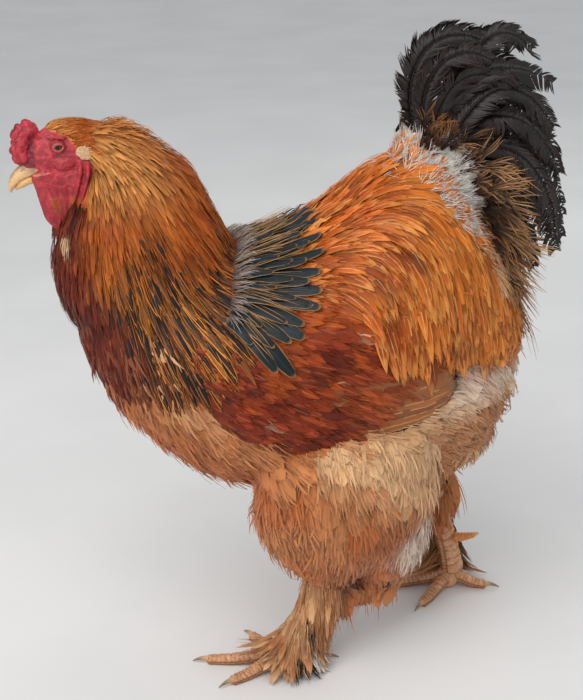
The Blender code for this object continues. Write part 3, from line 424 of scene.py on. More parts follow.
class Coat:
    """Feathers gathered into one mesh, with their own map, bake map, tints and marks."""

    def __init__(self, name):
        self.name = name
        self.rows = []

    def add(self, path, up, width, tint, mark, tone, chart, ridge=0.03, camber=0.05, thick=0.00025):
        """path and up are feather by ring, width feather by ring, tint colour by ring, mark stripe, lace and tip."""
        count, rings = path.shape[:2]
        along = unit(np.gradient(path, axis=1))
        across = unit(np.cross(along, up))
        over = np.cross(across, along)
        half = across * (width[..., None] / 2)
        droop = over * (width * camber)[..., None]
        crest = over * (width * ridge + thick)[..., None]
        self.rows.append((
            np.stack([path - half - droop, path + crest, path + half - droop], 2),
            np.broadcast_to(tint, (count, rings, 3)), np.broadcast_to(mark, (count, 3)),
            np.broadcast_to(tone, count), np.asarray(chart)))

    def build(self, finish, replaces=()):
        points, faces3, faces4, vane, bake, tints, marks, tones = ([] for _ in range(8))
        base = 0
        for grid, tint, mark, tone, chart in self.rows:
            count, rings = grid.shape[:2]
            points.append(grid.reshape(-1, 3))
            along = np.linspace(0, 1, rings)
            t = np.broadcast_to(along[None, :, None], (count, rings, 3))
            s = np.broadcast_to(np.array([0.0, 0.5, 1.0]), (count, rings, 3))
            vane.append(np.stack([s, t], -1).reshape(-1, 2))
            patch = chart[:, None, None, :] + (np.stack([s, t], -1) - 0.5) * 0.003
            bake.append(patch.reshape(-1, 2))
            colour = np.ones((count, rings, 3, 4))
            colour[..., :3] = tint[:, :, None, :]
            tints.append(colour.reshape(-1, 4))
            signs = np.ones((count, rings, 3, 4))
            signs[..., :3] = mark[:, None, None, :]
            marks.append(signs.reshape(-1, 4))
            tones.append(np.repeat(tone, rings * 3))
            start = base + np.arange(count)[:, None] * rings * 3
            ring = start[:, :, None] + (np.arange(rings - 1) * 3)[None, :, None]
            for pair in ((0, 1, 4, 3), (1, 2, 5, 4), (2, 0, 3, 5)):
                faces4.append((ring + np.array(pair)).reshape(-1, 4))
            faces3.append(start + np.array([0, 2, 1]))
            faces3.append(start + (rings - 1) * 3 + np.array([0, 1, 2]))
            base += count * rings * 3
        faces3, faces4 = np.concatenate(faces3), np.concatenate(faces4)
        obj = mesh_object(self.name, np.concatenate(points), faces3, faces4)
        mesh = obj.data
        ends = np.zeros(len(mesh.edges) * 2, np.int32)
        mesh.edges.foreach_get("vertices", ends)
        first, second = (ends.reshape(-1, 2) % 3).T
        layer = mesh.attributes.new("sharp_edge", "BOOLEAN", "EDGE")
        layer.data.foreach_set("value", (first == second) & (first != 1))
        corners = np.concatenate([faces3.ravel(), faces4.ravel()])
        for name, values in (("FeatherUV", vane), ("OFBake", bake)):
            layer = mesh.uv_layers.new(name=name)
            layer.data.foreach_set("uv", np.concatenate(values)[corners].astype(np.float32).ravel())
        mesh.uv_layers["OFBake"].active = True
        for name, values in (("tint", tints), ("mark", marks)):
            layer = mesh.color_attributes.new(name, "FLOAT_COLOR", "POINT")
            layer.data.foreach_set("color", np.concatenate(values).astype(np.float32).ravel())
        layer = mesh.attributes.new("tone", "FLOAT", "POINT")
        layer.data.foreach_set("value", np.concatenate(tones).astype(np.float32))
        mesh.materials.append(finish)
        settle(obj, replaces)
        return obj


def mesh_object(name, points, faces3=None, faces4=None, smooth=True):
    """A mesh from arrays of points, triangles and four-sided faces."""
    faces3 = np.zeros((0, 3), int) if faces3 is None else np.asarray(faces3)
    faces4 = np.zeros((0, 4), int) if faces4 is None else np.asarray(faces4)
    mesh = bpy.data.meshes.new(name)
    mesh.vertices.add(len(points))
    mesh.vertices.foreach_set("co", np.asarray(points, np.float32).ravel())
    corners = np.concatenate([faces3.ravel(), faces4.ravel()]).astype(np.int32)
    mesh.loops.add(len(corners))
    mesh.loops.foreach_set("vertex_index", corners)
    starts = np.concatenate([np.arange(len(faces3)) * 3, len(faces3) * 3 + np.arange(len(faces4)) * 4])
    mesh.polygons.add(len(starts))
    mesh.polygons.foreach_set("loop_start", starts.astype(np.int32))
    mesh.update(calc_edges=True)
    mesh.polygons.foreach_set("use_smooth", np.full(len(starts), smooth))
    mesh.validate()
    obj = bpy.data.objects.new(name, mesh)
    bpy.context.scene.collection.objects.link(obj)
    return obj


def settle(obj, replaces=()):
    """Rides on the bird and the solids that it stands for."""
    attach(obj, "root")
    if replaces:
        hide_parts(*replaces)


def select_only(obj):
    bpy.ops.object.select_all(action="DESELECT")
    obj.select_set(True)
    bpy.context.view_layer.objects.active = obj


def join(objects, name):
    """Joins objects into the first one, under a new name."""
    select_only(objects[0])
    for obj in objects[1:]:
        obj.select_set(True)
    if len(objects) > 1:
        bpy.ops.object.join()
    objects[0].name = objects[0].data.name = name
    return objects[0]


def apply_modifier(obj, kind, **settings):
    select_only(obj)
    step = obj.modifiers.new(kind.title(), kind)
    for key, value in settings.items():
        setattr(step, key, value)
    bpy.ops.object.modifier_apply(modifier=step.name)


def points_of(obj):
    co = np.zeros(len(obj.data.vertices) * 3, np.float32)
    obj.data.vertices.foreach_get("co", co)
    return co.reshape(-1, 3).astype(float)


def normals_of(obj):
    co = np.zeros(len(obj.data.vertices) * 3, np.float32)
    obj.data.vertex_normals.foreach_get("vector", co)
    return co.reshape(-1, 3).astype(float)


def put_points(obj, points):
    obj.data.vertices.foreach_set("co", np.asarray(points, np.float32).ravel())
    obj.data.update()


def form_mesh(name, form, rings=40, around=32, grow=0.0, shape=None):
    """A form's closed mesh. shape(u, angle) gives extra height over the surface."""
    u = 0.5 - 0.5 * np.cos(np.linspace(0.02, 0.98, rings) * math.pi)
    u = 0.35 * u + 0.65 * np.linspace(0, 1, rings + 2)[1:-1]
    turns = np.linspace(0, 360, around, endpoint=False)
    uu, aa = (g.ravel() for g in np.meshgrid(u, turns, indexing="ij"))
    out = grow + (shape(uu, (aa + 180) % 360 - 180) if shape else 0.0)
    points = form.point(uu, aa, out)
    ends = [form.point(0.0, 0)[0] - form.tangent[0] * grow, form.point(1.0, 0)[0] + form.tangent[-1] * grow]
    points = np.vstack([points, ends])
    i, j = (g.ravel() for g in np.meshgrid(np.arange(rings - 1), np.arange(around), indexing="ij"))
    k = (j + 1) % around
    quads = np.stack([i * around + j, i * around + k, (i + 1) * around + k, (i + 1) * around + j], 1)
    j = np.arange(around)
    k = (j + 1) % around
    first, last = rings * around, rings * around + 1
    caps = np.vstack([
        np.stack([k, j, np.full(around, first)], 1),
        np.stack([(rings - 1) * around + j, (rings - 1) * around + k, np.full(around, last)], 1)])
    corners = points[quads[:, :3]] - points.mean(axis=0)
    if np.linalg.det(corners).sum() < 0:
        quads, caps = quads[:, ::-1], caps[:, ::-1]
    made = mesh_object(name, points, caps, quads)
    if shape:
        store(made, "raised", np.append(np.broadcast_to(out, len(uu)) - grow, [0, 0]))
    return made


def ball(name, place, size, turn=(0, 0, 0), segments=24, rings=16):
    bpy.ops.object.select_all(action="DESELECT")
    bpy.ops.mesh.primitive_uv_sphere_add(segments=segments, ring_count=rings, radius=1.0, location=place,
                                         rotation=[math.radians(a) for a in turn])
    obj = bpy.context.object
    obj.name = name
    obj.scale = size
    bpy.ops.object.transform_apply(location=True, rotation=True, scale=True)
    bpy.ops.object.shade_smooth()
    return obj


# Materials

class Web:
    """Adds nodes to a tree and links them."""

    def __init__(self, tree):
        self.tree = tree

    def add(self, kind, inputs=None, **settings):
        made = self.tree.nodes.new("ShaderNode" + kind)
        for key, value in settings.items():
            setattr(made, key, value)
        for key, value in (inputs or {}).items():
            if isinstance(value, bpy.types.NodeSocket):
                self.tree.links.new(value, made.inputs[key])
            else:
                made.inputs[key].default_value = value
        return made

    def math(self, operation, a, b=0.0, clamp=False):
        return self.add("Math", {0: a, 1: b}, operation=operation, use_clamp=clamp).outputs[0]

    def ramp(self, value, low, high, first=0.0, last=1.0):
        inputs = {"Value": value, "From Min": low, "From Max": high, "To Min": first, "To Max": last}
        return self.add("MapRange", inputs, interpolation_type="SMOOTHSTEP").outputs[0]

    def mix(self, factor, a, b, blend="MIX"):
        return self.add("Mix", {0: factor, 6: a, 7: b}, data_type="RGBA", blend_type=blend).outputs[2]

    def scaled(self, colour, factor):
        return self.add("VectorMath", {0: colour, 3: factor}, operation="SCALE").outputs[0]


def new_group(name, inputs, outputs):
    """A shader node group with named sockets: name, kind and default."""
    group = bpy.data.node_groups.new(name, "ShaderNodeTree")
    for socket_name, kind, default in inputs:
        socket = group.interface.new_socket(name=socket_name, in_out="INPUT", socket_type="NodeSocket" + kind)
        socket.default_value = default
    for socket_name, kind in outputs:
        group.interface.new_socket(name=socket_name, in_out="OUTPUT", socket_type="NodeSocket" + kind)
    web = Web(group)
    return group, web, group.nodes.new("NodeGroupInput").outputs, group.nodes.new("NodeGroupOutput").inputs


def silk_group():
    """Long silky streaks along a feather, as its barbs catch the light."""
    name = "silk_streaks"
    if name in bpy.data.node_groups:
        return bpy.data.node_groups[name]
    group, web, given, out = new_group(name, [
        ("Across", "Float", 0.5), ("Along", "Float", 0.5), ("Tone", "Float", 0.5),
        ("Fineness", "Float", 7.0), ("Length", "Float", 1.6)], [("Value", "Float")])
    fold = web.math("ABSOLUTE", web.math("SUBTRACT", given["Across"], 0.5))
    slant = web.math("SUBTRACT", given["Along"], web.math("MULTIPLY", fold, 0.45))
    vector = web.add("CombineXYZ", {
        0: web.math("MULTIPLY", given["Across"], given["Fineness"]),
        1: web.math("MULTIPLY", slant, given["Length"]),
        2: web.math("MULTIPLY", given["Tone"], 57.0)}).outputs[0]
    grain = web.add("TexNoise", {"Vector": vector, "Scale": 1.0, "Detail": 3.0, "Roughness": 0.62})
    group.links.new(grain.outputs[0], out["Value"])
    return group


def marks_group():
    """A feather's colours: painted highlights and shade in silky streaks along its barbs, and its own dark centre
    stripe, pale lacing, dark or pale tip and its shaft.
    """
    name = "vane_marks"
    if name in bpy.data.node_groups:
        return bpy.data.node_groups[name]
    colour = (0.5, 0.5, 0.5, 1.0)
    group, web, given, out = new_group(name, [
        ("Tint", "Color", colour), ("Mark", "Color", colour), ("Tone", "Float", 0.5),
        ("Across", "Float", 0.5), ("Along", "Float", 0.5),
        ("Stripe Colour", "Color", colour), ("Lace Colour", "Color", colour), ("Tip Colour", "Color", colour),
        ("Shaft Colour", "Color", colour), ("Stripe Width", "Float", 0.5), ("Lace Width", "Float", 0.3),
        ("Shaft Strength", "Float", 0.4), ("Streak Strength", "Float", 0.5), ("Fineness", "Float", 7.0),
        ("Length", "Float", 1.6)], [("Color", "Color"), ("Height", "Float")])
    streak = web.add("Group", node_tree=silk_group())
    for key in ("Across", "Along", "Tone", "Fineness", "Length"):
        group.links.new(given[key], streak.inputs[key])
    silk = streak.outputs["Value"]
    side = web.math("MULTIPLY", web.math("ABSOLUTE", web.math("SUBTRACT", given["Across"], 0.5)), 2.0)
    rough_side = web.math("ADD", side, web.math("MULTIPLY", web.math("SUBTRACT", silk, 0.5), 0.5))
    # Painted highlight and shade: the silky streaks lighten and darken the tint along the barbs.
    light = web.math("ADD", 1.0, web.math("MULTIPLY", web.math("SUBTRACT", silk, 0.5), given["Streak Strength"]))
    own = web.math("ADD", 0.80, web.math("MULTIPLY", given["Tone"], 0.40))
    base = web.scaled(given["Tint"], web.math("MULTIPLY", light, own))
    parts = web.add("SeparateColor", {0: given["Mark"]}).outputs
    narrow = web.math("MULTIPLY", given["Stripe Width"], web.ramp(given["Along"], 0.70, 1.0, 1.0, 0.35))
    stripe = web.ramp(web.math("SUBTRACT", rough_side, narrow), -0.12, 0.10, 1.0, 0.0)
    stripe = web.math("MULTIPLY", stripe, web.ramp(given["Along"], 0.10, 0.45))
    colours = web.mix(web.math("MULTIPLY", stripe, parts[0], True), base, given["Stripe Colour"])
    edge = web.math("MAXIMUM", rough_side, web.math("MULTIPLY", given["Along"], 1.02))
    start = web.math("SUBTRACT", 1.0, given["Lace Width"])
    lace = web.ramp(web.math("SUBTRACT", edge, start), -0.06, 0.08)
    colours = web.mix(web.math("MULTIPLY", lace, parts[1], True), colours, given["Lace Colour"])
    end = web.ramp(web.math("ADD", given["Along"], web.math("MULTIPLY", web.math("SUBTRACT", silk, 0.5), 0.3)), 0.72, 0.95)
    colours = web.mix(web.math("MULTIPLY", end, parts[2], True), colours, given["Tip Colour"])
    shaft = web.math("MULTIPLY", web.ramp(side, 0.05, 0.16, 1.0, 0.0), given["Shaft Strength"])
    shaft = web.math("MULTIPLY", shaft, web.ramp(given["Tone"], 0.2, 0.9))
    colours = web.mix(shaft, colours, given["Shaft Colour"])
    group.links.new(colours, out["Color"])
    group.links.new(web.math("ADD", silk, web.ramp(side, 0.0, 0.14, 0.35, 0.0)), out["Height"])
    return group


def pebble_group():
    """Small rounded lumps and pores, for bare skin and scaly toes."""
    name = "pebbled_skin"
    if name in bpy.data.node_groups:
        return bpy.data.node_groups[name]
    group, web, given, out = new_group(name, [
        ("Vector", "Vector", (0, 0, 0)), ("Size", "Float", 500.0), ("Folds", "Float", 180.0)],
        [("Value", "Float"), ("Patch", "Float")])
    cells = web.add("TexVoronoi", {"Vector": given["Vector"], "Scale": given["Size"]})
    grain = web.add("TexNoise", {"Vector": given["Vector"], "Scale": given["Folds"], "Detail": 4.0})
    value = web.math("ADD", web.math("MULTIPLY", cells.outputs["Distance"], 0.6), grain.outputs[0])
    patch = web.add("TexNoise", {"Vector": given["Vector"], "Scale": 60.0, "Detail": 3.0})
    group.links.new(value, out["Value"])
    group.links.new(patch.outputs[0], out["Patch"])
    return group


def new_material(name, roughness, **constants):
    """A material with its Principled shader's constant sockets set, and its node web."""
    made = bpy.data.materials.new(name)
    made.use_nodes = True
    shader = made.node_tree.nodes["Principled BSDF"]
    shader.inputs["Roughness"].default_value = roughness
    for key, value in constants.items():
        shader.inputs[key.replace("_", " ")].default_value = value
    return made, shader, Web(made.node_tree)


def link_bump(web, shader, height, distance, strength=1.0):
    bump = web.add("Bump", {"Height": height, "Distance": distance, "Strength": strength})
    web.tree.links.new(bump.outputs[0], shader.inputs["Normal"])


def vane_material(name, stripe=(0.012, 0.010, 0.008), lace=(0.6, 0.3, 0.08), tip=(0.02, 0.015, 0.01),
                  shaft=(0.85, 0.55, 0.25), stripe_width=0.5, lace_width=0.3, shaft_strength=0.35, streak=0.7,
                  fineness=7.0, length=1.6, roughness=0.55, bump=0.0006, specular=0.25, **constants):
    """The finish of one kind of feather."""
    made, shader, web = new_material(name, roughness, Specular_IOR_Level=specular, **constants)
    uv = web.add("UVMap", uv_map="FeatherUV").outputs[0]
    across, along, _ = web.add("SeparateXYZ", {0: uv}).outputs
    marks = web.add("Group", {}, node_tree=marks_group())
    values = {
        "Tint": web.add("Attribute", attribute_name="tint").outputs["Color"],
        "Mark": web.add("Attribute", attribute_name="mark").outputs["Color"],
        "Tone": web.add("Attribute", attribute_name="tone").outputs["Fac"],
        "Across": across, "Along": along,
    }
    for key, value in values.items():
        web.tree.links.new(value, marks.inputs[key])
    for key, value in (("Stripe Colour", stripe), ("Lace Colour", lace), ("Tip Colour", tip), ("Shaft Colour", shaft)):
        marks.inputs[key].default_value = (*value, 1.0)
    for key, value in (("Stripe Width", stripe_width), ("Lace Width", lace_width), ("Shaft Strength", shaft_strength),
                       ("Streak Strength", streak), ("Fineness", fineness), ("Length", length)):
        marks.inputs[key].default_value = value
    web.tree.links.new(marks.outputs["Color"], shader.inputs["Base Color"])
    link_bump(web, shader, marks.outputs["Height"], bump)
    return made


def skin_material():
    """Bare skin on the face, comb and wattles, dull skin in the coat's colours under the plumage."""
    made, shader, web = new_material("bird_skin", 0.5, Subsurface_Weight=0.12, Subsurface_Scale=0.004)
    shader.inputs["Subsurface Radius"].default_value = (1.0, 0.25, 0.15)
    tint = web.add("Attribute", attribute_name="tint").outputs["Color"]
    bare = web.add("Attribute", attribute_name="bare").outputs["Fac"]
    place = web.add("TexCoord").outputs["Object"]
    pebble = web.add("Group", {"Vector": place, "Size": 900.0, "Folds": 420.0}, node_tree=pebble_group())
    deep = web.ramp(pebble.outputs["Value"], 0.45, 1.0, 0.80, 1.16)
    patchy = web.ramp(pebble.outputs["Patch"], 0.3, 0.7, 0.88, 1.12)
    colour = web.scaled(tint, web.math("MULTIPLY", deep, patchy))
    web.tree.links.new(colour, shader.inputs["Base Color"])
    web.tree.links.new(web.ramp(bare, 0.0, 1.0, 0.85, 0.46), shader.inputs["Roughness"])
    link_bump(web, shader, pebble.outputs["Value"], 0.00035)
    return made


def scale_material():
    """Yellow-tan scutes, darker in their seams."""
    made, shader, web = new_material("toe_scutes", 0.5)
    tint = web.add("Attribute", attribute_name="tint").outputs["Color"]
    place = web.add("TexCoord").outputs["Object"]
    pebble = web.add("Group", {"Vector": place, "Size": 700.0, "Folds": 300.0}, node_tree=pebble_group())
    deep = web.ramp(pebble.outputs["Value"], 0.4, 1.05, 0.72, 1.2)
    web.tree.links.new(web.scaled(tint, deep), shader.inputs["Base Color"])
    web.tree.links.new(web.ramp(pebble.outputs["Patch"], 0.3, 0.7, 0.42, 0.68), shader.inputs["Roughness"])
    link_bump(web, shader, pebble.outputs["Value"], 0.0005)
    return made


def horn_material(name, roughness=0.38):
    """Horn that is streaked along its growth, with the tint painted on its points."""
    made, shader, web = new_material(name, roughness, Coat_Weight=0.25, Coat_Roughness=0.3)
    tint = web.add("Attribute", attribute_name="tint").outputs["Color"]
    place = web.add("TexCoord").outputs["Object"]
    stretched = web.add("VectorMath", {0: place, 1: (240.0, 900.0, 700.0)}, operation="MULTIPLY").outputs[0]
    grain = web.add("TexNoise", {"Vector": stretched, "Scale": 1.0, "Detail": 4.0}).outputs[0]
    web.tree.links.new(web.scaled(tint, web.ramp(grain, 0.25, 0.75, 0.82, 1.15)), shader.inputs["Base Color"])
    web.tree.links.new(web.ramp(grain, 0.2, 0.8, roughness - 0.08, roughness + 0.12), shader.inputs["Roughness"])
    link_bump(web, shader, grain, 0.0002)
    return made


def paint(obj, name, colours):
    """A colour for each point."""
    values = np.ones((len(obj.data.vertices), 4), np.float32)
    values[:, :3] = colours
    layer = obj.data.color_attributes.new(name, "FLOAT_COLOR", "POINT")
    layer.data.foreach_set("color", values.ravel())


# What a user would change

def length_property(name, description, default):
    return bpy.props.FloatProperty(
        name=name, description=description, default=default, min=0.0001, max=1.0, precision=4, unit="LENGTH")


def colour_property(name, description, default):
    return bpy.props.FloatVectorProperty(
        name=name, description=description, default=default, min=0.0, max=1.0, size=3, subtype="COLOR")


class PlumageSizes(bpy.types.PropertyGroup):
    """Sizes of the feathers."""
    coat_depth: length_property("Coat depth", "How far the skin lies inside the plumage", 0.009)
    hackle_length: length_property("Hackle length", "Longest neck feather", 0.088)
    hackle_width: length_property("Hackle width", "Widest part of a neck feather", 0.0090)
    cape_length: length_property("Cape length", "Length of a cape feather", 0.094)
    cape_width: length_property("Cape width", "Widest part of a cape feather", 0.0185)
    saddle_length: length_property("Saddle length", "Longest saddle feather", 0.086)
    saddle_width: length_property("Saddle width", "Widest part of a saddle feather", 0.0118)
    bow_length: length_property("Wing bow length", "Length of the silky feathers on the wing bow", 0.036)
    bow_width: length_property("Wing bow width", "Width of the silky feathers on the wing bow", 0.0100)
    breast_length: length_property("Breast length", "Length of a breast feather", 0.046)
    breast_width: length_property("Breast width", "Width of a breast feather", 0.0260)
    thigh_length: length_property("Thigh length", "Length of the soft feathers on the thighs", 0.050)
    thigh_width: length_property("Thigh width", "Width of the soft feathers on the thighs", 0.0270)
    boot_length: length_property("Boot length", "Longest feather on the shanks and toes", 0.062)


class PlumageColours(bpy.types.PropertyGroup):
    """Colours of the feathers."""
    straw: colour_property("Straw", "Pale feathers behind the ear", (0.80, 0.33, 0.085))
    gold: colour_property("Gold", "Neck feathers", (0.50, 0.125, 0.010))
    gold_edge: colour_property("Gold edge", "Edges of the striped feathers", (0.74, 0.27, 0.035))
    chestnut: colour_property("Chestnut", "Front of the neck", (0.155, 0.015, 0.004))
    stripe: colour_property("Stripe", "Dark stripe of the neck feathers", (0.010, 0.007, 0.006))
    cape: colour_property("Cape", "Glossy dark feathers between the shoulders", (0.004, 0.010, 0.012))
    orange: colour_property("Orange", "Back and lower saddle", (0.47, 0.078, 0.005))
    saddle: colour_property("Saddle", "Long saddle feathers", (0.60, 0.150, 0.012))
    bow: colour_property("Wing bow", "Silky mahogany feathers of the wing", (0.26, 0.026, 0.004))
    bay: colour_property("Wing bay", "Broad wing feathers", (0.40, 0.130, 0.040))
    breast: colour_property("Breast", "Breast and front of the body", (0.59, 0.220, 0.076))
    salmon: colour_property("Salmon", "Deeper parts of the thighs and breast", (0.51, 0.140, 0.034))
    cream: colour_property("Cream", "Pale thigh feathers", (0.90, 0.55, 0.28))
    white: colour_property("White down", "Down at the tail's root and behind the thighs", (0.93, 0.88, 0.82))
    black: colour_property("Tail black", "Main tail feathers and sickles", (0.011, 0.007, 0.006))
    buff: colour_property("Covert buff", "Edges of the tail coverts", (0.66, 0.31, 0.12))
    boot: colour_property("Boots", "Feathers of shanks and feet", (0.52, 0.22, 0.095))


class HeadSizes(bpy.types.PropertyGroup):
    """Sizes and colours of the head and feet."""
    eye_radius: length_property("Eye radius", "Radius of the eyeball", 0.0074)
    skin_voxel: length_property("Skin detail", "Voxel size of the head's skin", 0.00104)
    body_voxel: length_property("Body detail", "Voxel size of the body's skin", 0.0056)
    face: colour_property("Face red", "Bare skin of the face", (0.60, 0.045, 0.055))
    comb: colour_property("Comb red", "Comb and wattles", (0.42, 0.016, 0.030))
    # Deep red is painted shade, laid into the folds and round the eyes.
    deep: colour_property("Deep red", "Recesses of comb and wattles", (0.13, 0.005, 0.012))
    rim: colour_property("Lid rim", "Pale rim of the eyelids", (0.52, 0.13, 0.10))
    horn: colour_property("Horn", "Sides of the beak and claws", (0.72, 0.44, 0.20))
    yellow: colour_property("Beak yellow", "Lower beak", (0.72, 0.38, 0.07))
    culmen: colour_property("Culmen", "Ridge and root of the upper beak", (0.20, 0.12, 0.085))
    iris: colour_property("Iris", "The eye's coloured ring", (0.13, 0.032, 0.010))
    toe: colour_property("Toe", "Scales of the toes", (0.66, 0.34, 0.17))


class StageSizes(bpy.types.PropertyGroup):
    """Camera, floor and lights."""
    azimuth: bpy.props.FloatProperty(
        name="Azimuth", description="Way round the bird of the camera", default=math.radians(-12), subtype="ANGLE")
    elevation: bpy.props.FloatProperty(
        name="Elevation", description="How far the camera looks down", default=math.radians(22), subtype="ANGLE")
    lens: bpy.props.FloatProperty(
        name="Lens", description="Focal length for a 36 mm sensor", default=72.0, min=10.0, unit="CAMERA")
    key_power: bpy.props.FloatProperty(
        name="Key light", description="Power of the large light above", default=47.0, min=0.0, unit="POWER")
    fill_power: bpy.props.FloatProperty(
        name="Fill light", description="Power of the light from the front", default=9.0, min=0.0, unit="POWER")
    world: bpy.props.FloatProperty(
        name="Sky", description="Strength of the even light all round", default=0.55, min=0.0, max=5.0)
    floor: colour_property("Floor", "Plain floor", (0.80, 0.79, 0.77))


def sizes():
    return bpy.context.scene.cock_sizes


def colours():
    return bpy.context.scene.cock_colours


def head_sizes():
    return bpy.context.scene.cock_head


# The plumage's colours over the body

def face_mask(points, soft=0.0012):
    """1 on the bare face, 0 on the feathered skin."""
    x, z = points[:, 0], points[:, 2]
    edge = np.array(FACE_EDGE)
    inside = np.zeros(len(points), bool)
    nearest = np.full(len(points), np.inf)
    for a, b in zip(edge, np.roll(edge, -1, axis=0)):
        crosses = ((a[1] > z) != (b[1] > z)) & (x < (b[0] - a[0]) * (z - a[1]) / (b[1] - a[1] + 1e-12) + a[0])
        inside ^= crosses
        t = np.clip(((x - a[0]) * (b[0] - a[0]) + (z - a[1]) * (b[1] - a[1])) / ((b - a) @ (b - a)), 0, 1)
        nearest = np.minimum(nearest, np.hypot(x - a[0] - t * (b[0] - a[0]), z - a[1] - t * (b[1] - a[1])))
    wattles = np.maximum(ease(np.abs(points[:, 1]), 0.0185, 0.0165), ease(z, 0.554, 0.572))
    return ease(np.where(inside, nearest, -nearest), -soft, soft) * wattles


def neck_tint(points):
    """Straw behind the face, gold and orange down the sides, chestnut in front, with gold edges low down."""
    c = colours()
    _, angle, _, _ = neck.locate(points)
    side, x, z = np.abs(angle), points[:, 0], points[:, 2]
    tint = mixed(c.gold, c.orange, np.clip(0.4 + 0.8 * noise(points, 0.030, 7), 0, 1))
    tint = mixed(tint, c.straw, 0.80 * ease(z, 0.525, 0.590) * ease(side, 20, 70) * ease(side, 150, 115))
    tint = mixed(tint, c.straw, 0.45 * ease(z, 0.575, 0.625))
    tint = mixed(tint, c.gold_edge, 0.7 * ease(z, 0.50, 0.43) * ease(side, 130, 100))
    tint = mixed(tint, c.chestnut, 0.75 * ease(noise(points, 0.020, 17), -0.2, 0.4) * ease(z, 0.50, 0.42))
    return mixed(tint, c.chestnut, ease(side + 10 * noise(points, 0.03, 2), 108, 140) * ease(z, 0.572, 0.535))


def torso_tint(points):
    """Orange back and saddle, mahogany wing, buff breast, cream and white fluff behind."""
    c = colours()
    _, angle, _, _ = torso.locate(points)
    x, z, side = points[:, 0], points[:, 2], np.abs(angle)
    back = mixed(c.orange, c.saddle, np.clip(0.15 + 0.6 * noise(points, 0.04, 2) + 0.9 * ease(x, 0.06, 0.17), 0, 1))
    back = mixed(back, c.straw, 0.55 * ease(x, 0.03, -0.05) * ease(side, 40, 8) + 0.30 * ease(noise(points, 0.02, 5), 0.2, 0.7))
    back = mixed(back, np.array(c.orange) * 0.55, 0.8 * ease(noise(points, 0.022, 15), 0.0, 0.5) * ease(side, 20, 50) * ease(z, 0.50, 0.40))
    # Painted light: the top of the back is up to 1.45 times brighter, as if lit from above.
    back = np.clip(back * (1.0 + 0.45 * ease(side, 56, 15))[:, None], 0, 0.97)
    low = mixed(c.breast, c.salmon, np.clip(0.40 + 0.9 * noise(points, 0.040, 5), 0, 1))
    low = mixed(low, c.cream, 0.55 * ease(noise(points, 0.030, 25), 0.0, 0.5) * ease(side, 130, 105))
    low = mixed(low, c.salmon, 0.8 * ease(side, 118, 150) * ease(x, -0.02, -0.12))
    low = mixed(low, c.cream, 0.8 * ease(x, 0.02, 0.12))
    low = mixed(low, mixed(c.white, c.cream, 0.35), 0.9 * ease(x + 0.02 * noise(points, 0.02, 8), 0.10, 0.19) * ease(z, 0.29, 0.345))
    low = mixed(low, c.breast, 0.8 * ease(x, 0.10, 0.16) * ease(z + 0.02 * noise(points, 0.03, 4), 0.325, 0.285))
    low = mixed(low, c.chestnut, 0.95 * ease(x, -0.150, -0.200) * ease(z + 0.02 * noise(points, 0.02, 6), 0.345, 0.390))
    return mixed(back, low, np.maximum(ease(side, 94, 112), ease(x, -0.105, -0.130)))


def thigh_tint(points):
    c = colours()
    x, z = points[:, 0], points[:, 2]
    patch = noise(points, 0.045, 3)
    tint = mixed(c.breast, c.salmon, np.clip(0.40 + 0.9 * patch, 0, 1))
    tint = mixed(tint, c.cream, 0.9 * ease(z + 0.45 * (x - 0.03) + 0.018 * patch, 0.215, 0.275))
    return mixed(tint, mixed(c.white, c.cream, 0.35), 0.8 * ease(x + 0.012 * patch, 0.082, 0.106) * ease(z, 0.190, 0.165) * ease(z, 0.095, 0.12) * (points[:, 1] < 0))


def body_tint(points):
    """The plumage's colour anywhere on the body, also for the skin under it."""
    c = colours()
    depths = [form.locate(points)[2] for form, _ in BODY]
    tint = torso_tint(points)
    legs = np.min(depths[2:6], axis=0)
    tint = np.where((legs < depths[0])[:, None], thigh_tint(points), tint)
    tint = np.where(((depths[1] < depths[0]) & (depths[1] < legs))[:, None], neck_tint(points), tint)
    gap, share, _ = from_tail_root(points)
    tint = mixed(tint, c.white, ease(gap, 0.042, 0.030) * ease(share, 0.85, 0.6) * (points[:, 2] > 0.40))
    tail = (depths[6] < depths[0]) & (points[:, 2] > 0.5) & (points[:, 0] > 0.05)
    tint = np.where(tail[:, None], mixed(c.white, c.black, ease(points[:, 0], 0.112, 0.126)), tint)
    crown = (points[:, 0] < -0.205) & (points[:, 2] > 0.565)
    return np.where(crown[:, None], crown_tint(points), tint)


def crown_tint(points):
    c = colours()
    tint = mixed(c.gold, c.orange, np.clip(0.5 + 0.8 * noise(points, 0.012, 4), 0, 1))
    tint = mixed(tint, c.straw, 0.75 * ease(points[:, 0] + 0.006 * noise(points, 0.005, 3), -0.226, -0.262))
    return mixed(tint, c.straw, 0.6 * ease(points[:, 0], -0.228, -0.208))


